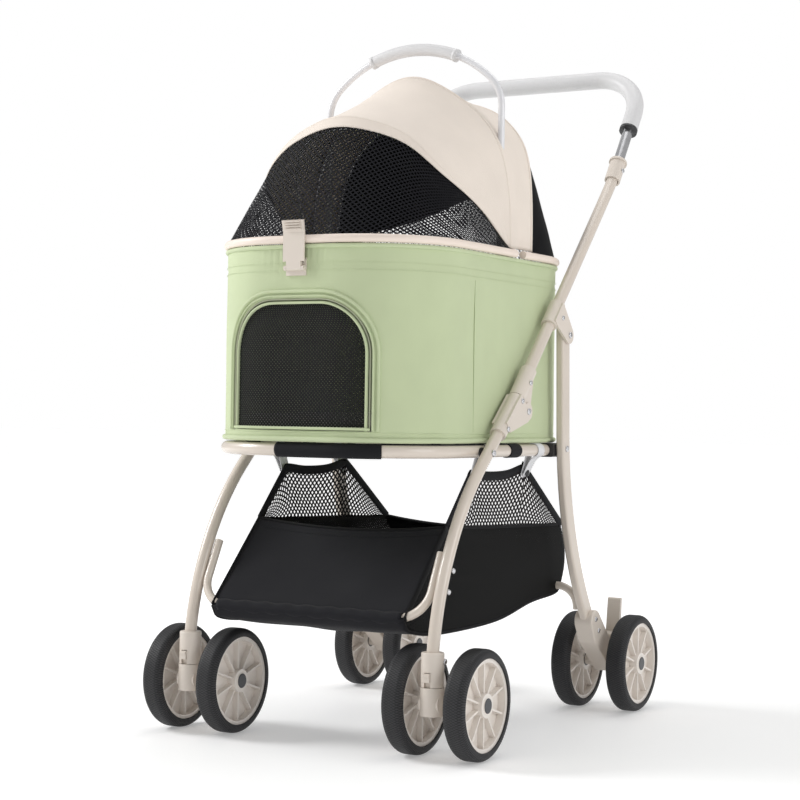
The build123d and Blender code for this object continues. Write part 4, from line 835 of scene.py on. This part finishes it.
front_hem = cloth("front_hem", 140, 6, (0.72, 0.018), hem_shape, canopy_cloth, 0.0014)
print("front hem area", round(shown_area(front_hem), 4))
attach(front_hem, "front_bow")
bows = [tube("bow_middle", [point.lerp(heart, 0.03) for point in crease.spaced(120)], 0.0025, steel),
        tube("bow_rear", [point.lerp(heart, 0.03) for point in rear_edge.spaced(120)], 0.0025, steel)]
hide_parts("fixed_bows")
for bow in bows:
    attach(bow, "carrier")
edges = (
    ("front_edge_piping", front_edge, 0.0030, "front_bow", canopy_cloth),
    ("crease_piping", crease, 0.0017, "carrier", canopy_cloth),
    ("rear_edge_piping", rear_edge, 0.0024, "carrier", canopy_cloth),
)
for name, route, radius, body, material in edges:
    piping = tube(name, route.spaced(140), radius, material)
    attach(piping, body)

# %% [markdown]
# ## Carry hoop and push grip
# The hoop has a wide round crown. Its grip and the push bar's long cover are both wrapped in pale
# leatherette: a tube round the bar, sewn along its hidden side, with a ring at each open end.


# %% Leather grips
def ring_at(name, point, direction, radius, width, material):
    ends = [point - direction * width / 2, point + direction * width / 2]
    return tube(name, [ends[0], ends[0].lerp(ends[1], 0.5), ends[1]], radius, material, sides=20)


def grip(name, line, radius, material, body, cad_node, seam_side, rings):
    cover = tube(name, line, radius, material, sides=24)
    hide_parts(cad_node)
    pieces = [cover]
    for i, (point, next_point) in enumerate(((line[0], line[1]), (line[-1], line[-2]))):
        run = (next_point - point).normalized()
        pieces.append(ring_at(f"{name}_ring_{i}", point + run * 0.002, run, radius + 0.0007, 0.006, rings))
    seam = [point + seam_side * (radius + 0.0001) for point in line[2:-2]]
    fine = Route(seam, 8).spaced(round(Route(seam, 2).length / 0.0012))
    pieces.append(stitches(f"{name}_stitches", fine, [seam_side] * len(fine), 0.0045, 0.0031, 0.0005, webbing))
    for piece in pieces:
        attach(piece, body)


HOOP_TOP, HOOP_CROWN, HOOP_GRIP = 1010.0, 190.0, 150.0
hoop_turns = [(i / 40 - 0.5) * HOOP_GRIP / HOOP_CROWN for i in range(41)]
hoop_part = [spot(HOOP_CROWN * math.sin(t), BOW_Y, HOOP_TOP - HOOP_CROWN * (1 - math.cos(t))) for t in hoop_turns]
grip("hoop_leather", hoop_part, 0.0090, leather, "hoop", "hoop_grip", Vector((0, 0, -1)), leather)

PUSH_LEAN = math.radians(55)
slope = Vector((0, math.cos(PUSH_LEAN), math.sin(PUSH_LEAN)))
grip_start, push_top, bend = spot(198, 277.6, 924.0), spot(198, 347.63, 1024.0), 0.085
corner = push_top - slope * bend - Vector((bend, 0, 0))
arm = [grip_start.lerp(push_top - slope * bend, i / 6) for i in range(6)]
arm += [corner + Vector((math.cos(t), 0, 0)) * bend + slope * bend * math.sin(t)
        for t in (math.pi / 2 * i / 18 for i in range(19))]
cross_bar = [Vector((x / 1000, arm[-1].y, arm[-1].z)) for x in range(100, -101, -20)]
mirror = [Vector((-point.x, point.y, point.z)) for point in reversed(arm)]
push_line = arm + cross_bar + mirror
seam_side = Vector((0, -math.sin(PUSH_LEAN), math.cos(PUSH_LEAN))) * -1
grip("push_leather", push_line, 0.0140, leather, "push_frame", "push_grip", seam_side, black_plastic)

# %% [markdown]
# ## Basket under the seat
# The basket is five panels: a canvas front that wraps its bar, a canvas bottom and rear, and two sides that are close
# net below the hem and open net above it. It hangs by its corners, so every free edge between two corners sags.

# %% Basket panels
BASKET_HALF = 0.156
SQUASH_AT = spot(0, 0, 388)
bottom_line = Route([spot(0, *p) for p in ((-359, 186), (-340, 168), (-256, 159), (-89, 162), (27, 180), (112, 187),
                                           (134, 198))])
hem_line = Route([spot(0, *p) for p in ((-242, 304), (-110, 299), (130, 293))])
top_line = Route([spot(0, *p) for p in ((-242, 304), (-182, 368), (-171, 377), (-120, 373), (-60, 374), (-10, 382),
                                        (2, 380), (130, 293))])
basket_pieces = []


def sideways(point, x):
    return Vector((x, point.y, point.z))


def add_basket(piece, flat=None, area=None):
    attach(piece, "seat_frame")
    if flat:
        print(piece.name, "area", round(shown_area(piece), 4), "declared", area)
    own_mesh(piece)
    basket_pieces.append(piece)
    return piece


def front_panel_shape(u, v):
    x = (2 * u - 1) * BASKET_HALF
    point = spot(0, -357, 186).lerp(spot(0, -242, 305), v)
    middle = 1 - (2 * u - 1) ** 2
    sag = 0.010 * middle * math.sin(math.pi * min(v * 1.3, 1) * 0.5)
    crumple = 0.0025 * noise.noise(Vector((u * 5, v * 3, 2.0)))
    return Vector((x, point.y + 0.006 * middle * math.sin(math.pi * v) + crumple, point.z - sag))


def bottom_shape(u, v):
    point = bottom_line.at(v)
    x = (2 * u - 1) * BASKET_HALF
    middle = 1 - (2 * u - 1) ** 2
    crumple = 0.0035 * noise.noise(Vector((u * 4, v * 9, 7.0)))
    return Vector((x, point.y, point.z - 0.007 * middle * math.sin(math.pi * v) + crumple * middle))


def rear_panel_shape(u, v):
    x = (2 * u - 1) * BASKET_HALF
    point = spot(0, 134, 198).lerp(spot(0, 130, 293), v)
    middle = 1 - (2 * u - 1) ** 2
    bulge = 0.016 * math.sin(math.pi * min(1, v * 1.1))
    return Vector((x, point.y + bulge, point.z - 0.012 * middle * v))


front_canvas = add_basket(cloth("basket_front", 60, 24, (0.312, 0.166), front_panel_shape, canvas, 0.0016),
                          (0.312, 0.166), 0.0515)
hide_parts("basket")
add_basket(cloth("basket_bottom", 50, 70, (0.312, 0.50), bottom_shape, canvas, 0.0016), (0.312, 0.51), 0.157)
add_basket(cloth("basket_rear", 50, 20, (0.312, 0.105), rear_panel_shape, canvas, 0.0016), (0.312, 0.105), 0.031)
for side, word in ((-1, "right"), (1, "left")):
    def lower_shape(u, v):
        point = bottom_line.at(u).lerp(hem_line.at(u), v)
        point.y += 0.016 * u ** 8 * math.sin(math.pi * v)
        return sideways(point, side * (BASKET_HALF + 0.007 * math.sin(math.pi * u) * math.sin(math.pi * v)))

    def upper_shape(u, v):
        point = hem_line.at(u).lerp(top_line.at(u), v)
        pleat = 0.004 * math.sin(u * 9 + v * 2) * math.sin(math.pi * v)
        return sideways(point, side * (BASKET_HALF + 0.002 * math.sin(math.pi * u) * v) + pleat)

    add_basket(cloth(f"basket_side_{word}", 64, 24, (0.42, 0.125), lower_shape, side_net, 0.0010),
               (0.48, 0.14), 0.055)
    add_basket(cloth(f"basket_net_{word}", 64, 16, (0.40, 0.08), upper_shape, basket_net, 0.0009),
               (0.37, 0.085), 0.021)
    runs = (
        (f"basket_top_binding_{word}", top_line.spaced(120), 0.0068, black_web),
        (f"basket_hem_seam_{word}", hem_line.spaced(60), 0.0022, binding),
        (f"basket_foot_seam_{word}", bottom_line.spaced(70), 0.0022, binding),
        (f"basket_corner_{word}", [spot(0, -357, 186).lerp(spot(0, -242, 304), i / 20) for i in range(21)],
         0.0052, binding),
    )
    for name, line, radius, material in runs:
        line = [sideways(point, side * (BASKET_HALF + 0.0008)) for point in line]
        add_basket(tube(name, line, radius, material, flat=0.28, facing=Vector((1, 0, 0))))

hem_front = [front_panel_shape(i / 50, 1.0) for i in range(51)]
add_basket(tube("basket_front_hem", hem_front, 0.0034, binding, flat=0.6))
hem_rear = [rear_panel_shape(i / 50, 1.0) for i in range(51)]
add_basket(tube("basket_rear_hem", hem_rear, 0.0055, binding, flat=0.5))
BAR_REACH = 0.150
fold_front = [Vector(((2 * i / 60 - 1) * BAR_REACH, spot(0, -350.5, 0).y, 0.1862 + 0.0008 * math.sin(i * 0.9)))
              for i in range(61)]
add_basket(tube("basket_bar_fold", fold_front, 0.0088, canvas, sides=18))
hem_stitch = [front_panel_shape(i / 400, 0.91) + Vector((0, -0.0012, 0.0008)) for i in range(401)]
add_basket(stitches("basket_hem_stitches", hem_stitch, [Vector((0, -1, 0))] * 401, 0.004, 0.0027, 0.0004, black_web))

# %% [markdown]
# ## Webbing
# The basket hangs from four white loops that go over the ring, each closed with a snap. Black
# webbing is wrapped on the ring where the carrier rests, and two bands cross it.


# %% Loops and straps
RING_X, RING_HEIGHT = 178.0, 410.0


def band(name, line, width, material, slot_name, rests, thickness=0.0012):
    """A flat strip: line is its centre in millimetres (x, z) at y, and its width runs along Y."""
    y, points = line
    route = Route([spot(x, y, z) for x, z in points], 6)
    length = route.length

    def put(u, v):
        return route.at(u) + Vector((0, (v - 0.5) * width, 0))

    piece = cloth(name, 60, 8, (length, width), put, material, thickness)
    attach(piece, "seat_frame")
    width * length
    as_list(rests)
    return piece


def dome(name, centre, normal, radius, height, material):
    bm = bmesh.new()
    bmesh.ops.create_uvsphere(bm, u_segments=24, v_segments=12, radius=1.0)
    bmesh.ops.bisect_plane(bm, geom=bm.verts[:] + bm.edges[:] + bm.faces[:], plane_co=(0, 0, 0),
                           plane_no=(0, 0, -1), clear_outer=True)
    bmesh.ops.holes_fill(bm, edges=[edge for edge in bm.edges if edge.is_boundary], sides=0)
    turn = normal.to_track_quat("Z", "Y").to_matrix().to_4x4()
    bm.transform(Matrix.Translation(centre) @ turn @ Matrix.Diagonal((radius, radius, height, 1)))
    return link(name, bm, material)


loop_names = []
for y, place in ((-171.0, "front"), (-8.0, "rear")):
    for side, word in ((-1, "right"), (1, "left")):
        wrap = [(RING_X + 10.1 * math.cos(math.radians(a)), RING_HEIGHT + 10.1 * math.sin(math.radians(a)))
                for a in range(200, -81, -20)]
        path = [(158.0, 366.0), (160.5, 378.0), (165.0, 394.0), *wrap, (172.0, 392.0), (162.0, 372.0)]
        loop = band(f"loop_{place}_{word}", (y, [(side * x, z) for x, z in path]), 0.020, webbing, "white_webbing",
                    ["seat_ring"])
        if not loop_names:
            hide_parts("basket_loops")
        loop_names.append(loop.name)
        snap = dome(f"snap_{place}_{word}", spot(side * 164.4, y, 376.0), Vector((side, 0, 0)), 0.0062, 0.0030,
                    black_plastic)
        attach(snap, "seat_frame")


def sleeve(name, points, material):
    piece = tube(name, points, 0.0104, material, sides=20)
    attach(piece, "seat_frame")
    return piece


FRONT_RING_Y = -386.0
ring_oval = Oval(0.178, spot(0, FRONT_RING_Y, 0).y, spot(0, 147, 0).y, 0.130)


def along_ring(first, last, step, height=0.0):
    """Points on the ring tube; distances run from the middle of its front towards -X."""
    count = round(abs(last - first) / step) + 1
    half_way = ring_oval.length / 2
    plan = [ring_oval.at(half_way + first + (last - first) * i / (count - 1))[0] for i in range(count)]
    return [Vector((point.x, point.y, RING_HEIGHT / 1000 + height)) for point in plan]


front_sleeve = sleeve("ring_pad_front", along_ring(0.031, -0.125, 0.003), black_web)
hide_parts("ring_straps")
edge_tape = tube("ring_edge_tape", along_ring(-0.125, -0.40, 0.006, 0.0098), 0.0030, black_web, sides=10)
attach(edge_tape, "seat_frame")
for y, side, name in ((-240.0, -1, "ring_pad_front_right"), (-90.0, -1, "ring_pad_rear_right"),
                      (-90.0, 1, "ring_pad_rear_left")):
    sleeve(name, [spot(side * RING_X, y + d, RING_HEIGHT) for d in range(-17, 18, 2)], black_web)
for y, place in ((-240.0, "front"), (-90.0, "rear")):
    span = [(x, RING_HEIGHT + 1.5 - 3.0 * (1 - (x / 170.0) ** 2)) for x in range(-170, 171, 34)]
    band(f"ring_band_{place}", (y, span), 0.034, black_web, "black_webbing", ["seat_ring"], 0.0016)

# %% [markdown]
# ## Cushion
# A plump oval pad lies on the board. It is one closed surface, wound round the oval from the middle
# of its underside to the middle of its top, full at the centre and pulled in at the edge.

# %% Cushion
pad_low, pad_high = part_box("cushion")
pad_oval = Oval(pad_high.x, pad_low.y, pad_high.y, 0.125)
pad_middle = Vector(((pad_low.x + pad_high.x) / 2, (pad_low.y + pad_high.y) / 2, 0))


def pad_shape(u, v):
    point, _ = pad_oval.at(u * pad_oval.length)
    turn = math.pi * v
    reach = min(1.0, math.sin(turn) ** 0.55)
    rise = 0.5 - 0.5 * math.copysign(abs(math.cos(turn)) ** 0.75, math.cos(turn))
    spread = pad_middle.lerp(Vector((point.x, point.y, 0)), reach)
    dimple = 0.0012 * noise.noise(spread * 14)
    return Vector((spread.x, spread.y, pad_low.z + (pad_high.z - pad_low.z - 0.002) * rise + dimple * v))


bm = grid(180, 40, (pad_oval.length, 0.36), pad_shape)
bmesh.ops.remove_doubles(bm, verts=bm.verts, dist=1e-4)
bmesh.ops.recalc_face_normals(bm, faces=bm.faces)
pad = link("cushion_pad", bm, cushion_cloth)
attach(pad, "carrier")
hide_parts("cushion")

# %% [markdown]
# ## Finishes for the hardware
# Each remaining CAD node takes one finish. Wheels get their own: the hub's dark centre cap is part of
# the same moulding, so its finish darkens wherever the surface is near the axle and proud of the hub.


# %% Paint every node
def hub_finish(name, node):
    low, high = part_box(node)
    centre = (low + high) / 2
    finish = Finish(f"hub_{name}", (0.80, 0.745, 0.69), 0.36, Coat_Weight=0.2, Coat_Roughness=0.12)
    x, y, z = finish.axes("Object")
    radius = ((y - centre.y).math("POWER", 2.0) + (z - centre.z).math("POWER", 2.0)).math("SQRT")
    cap = radius.below(0.0105, 0.0002) * (1 - abs(x - centre.x).below(0.015, 0.0002))
    cloud = finish.noise(9.0)
    finish.tint(cap, (0.80, 0.745, 0.69), (0.05, 0.052, 0.058))
    finish.feed("Roughness", 0.34 + 0.12 * cap + 0.06 * cloud)
    finish.relief(finish.noise(700.0), 0.25, 0.0001)
    return finish.material


def paint(node, material):
    data = nodes[node].data
    data.materials.clear()
    data.materials.append(material)


PAINTS = {
    "front_legs rear_legs handle_tubes seat_ring front_basket_bar rear_basket_bar": enamel,
    "hinge_brackets_lower hinge_brackets_upper leg_brackets caster_housings caster_fork_L caster_fork_R": cream_plastic,
    "swivel_lock_L swivel_lock_R rear_wheel_housings brake_pedal_L brake_pedal_R handle_collars": cream_plastic,
    "latch_lever carrier_brackets": cream_plastic,
    "push_bar front_bolts rear_bolts handle_bolts rear_axles front_bow": steel,
    "tub_rim lid_rim": rim_paint,
    "ring_bearings": black_plastic,
    "hoop_tube": white_enamel,
    "base_board": board_paint,
}
for names, material in PAINTS.items():
    for node in names.split():
        paint(node, material)
for end in ("front", "rear"):
    for place in ("inner", "outer"):
        for side in "LR":
            wheel = f"{end}_{place}_{side}"
            paint(f"tyre_{wheel}", tyre_rubber(wheel, f"tyre_{wheel}"))
            paint(f"hub_{wheel}", hub_finish(wheel, f"hub_{wheel}"))

# %% [markdown]
# ## Floor
# The floor is a stage and not part of the stroller.

# %% Floor
# The floor glows as painted light: weakly near the stroller, where the glow lifts its shadows, and fully far off, where
# it blends into the white backdrop.
floor_finish = Finish("studio_floor", (0.80, 0.80, 0.80), 0.6, Emission_Strength=0.62)
floor_finish.feed("Roughness", 0.5 + 0.1 * floor_finish.noise(3.0))
across, along, _ = floor_finish.axes("Object")
from_middle = (across.math("POWER", 2.0) + along.math("POWER", 2.0)).math("SQRT")
glow = floor_finish.add("ShaderNodeMix", {"data_type": "RGBA"},
                        {0: from_middle.below(1.5, 0.9), 6: (1, 1, 1, 1), 7: (0.45, 0.45, 0.45, 1)}, output=2)
floor_finish.feed("Emission Color", glow)
bm = bmesh.new()
bmesh.ops.create_grid(bm, x_segments=1, y_segments=1, size=30.0)
floor = link("studio_floor", bm, floor_finish.material)
floor.location = (0, 0, -0.0005)
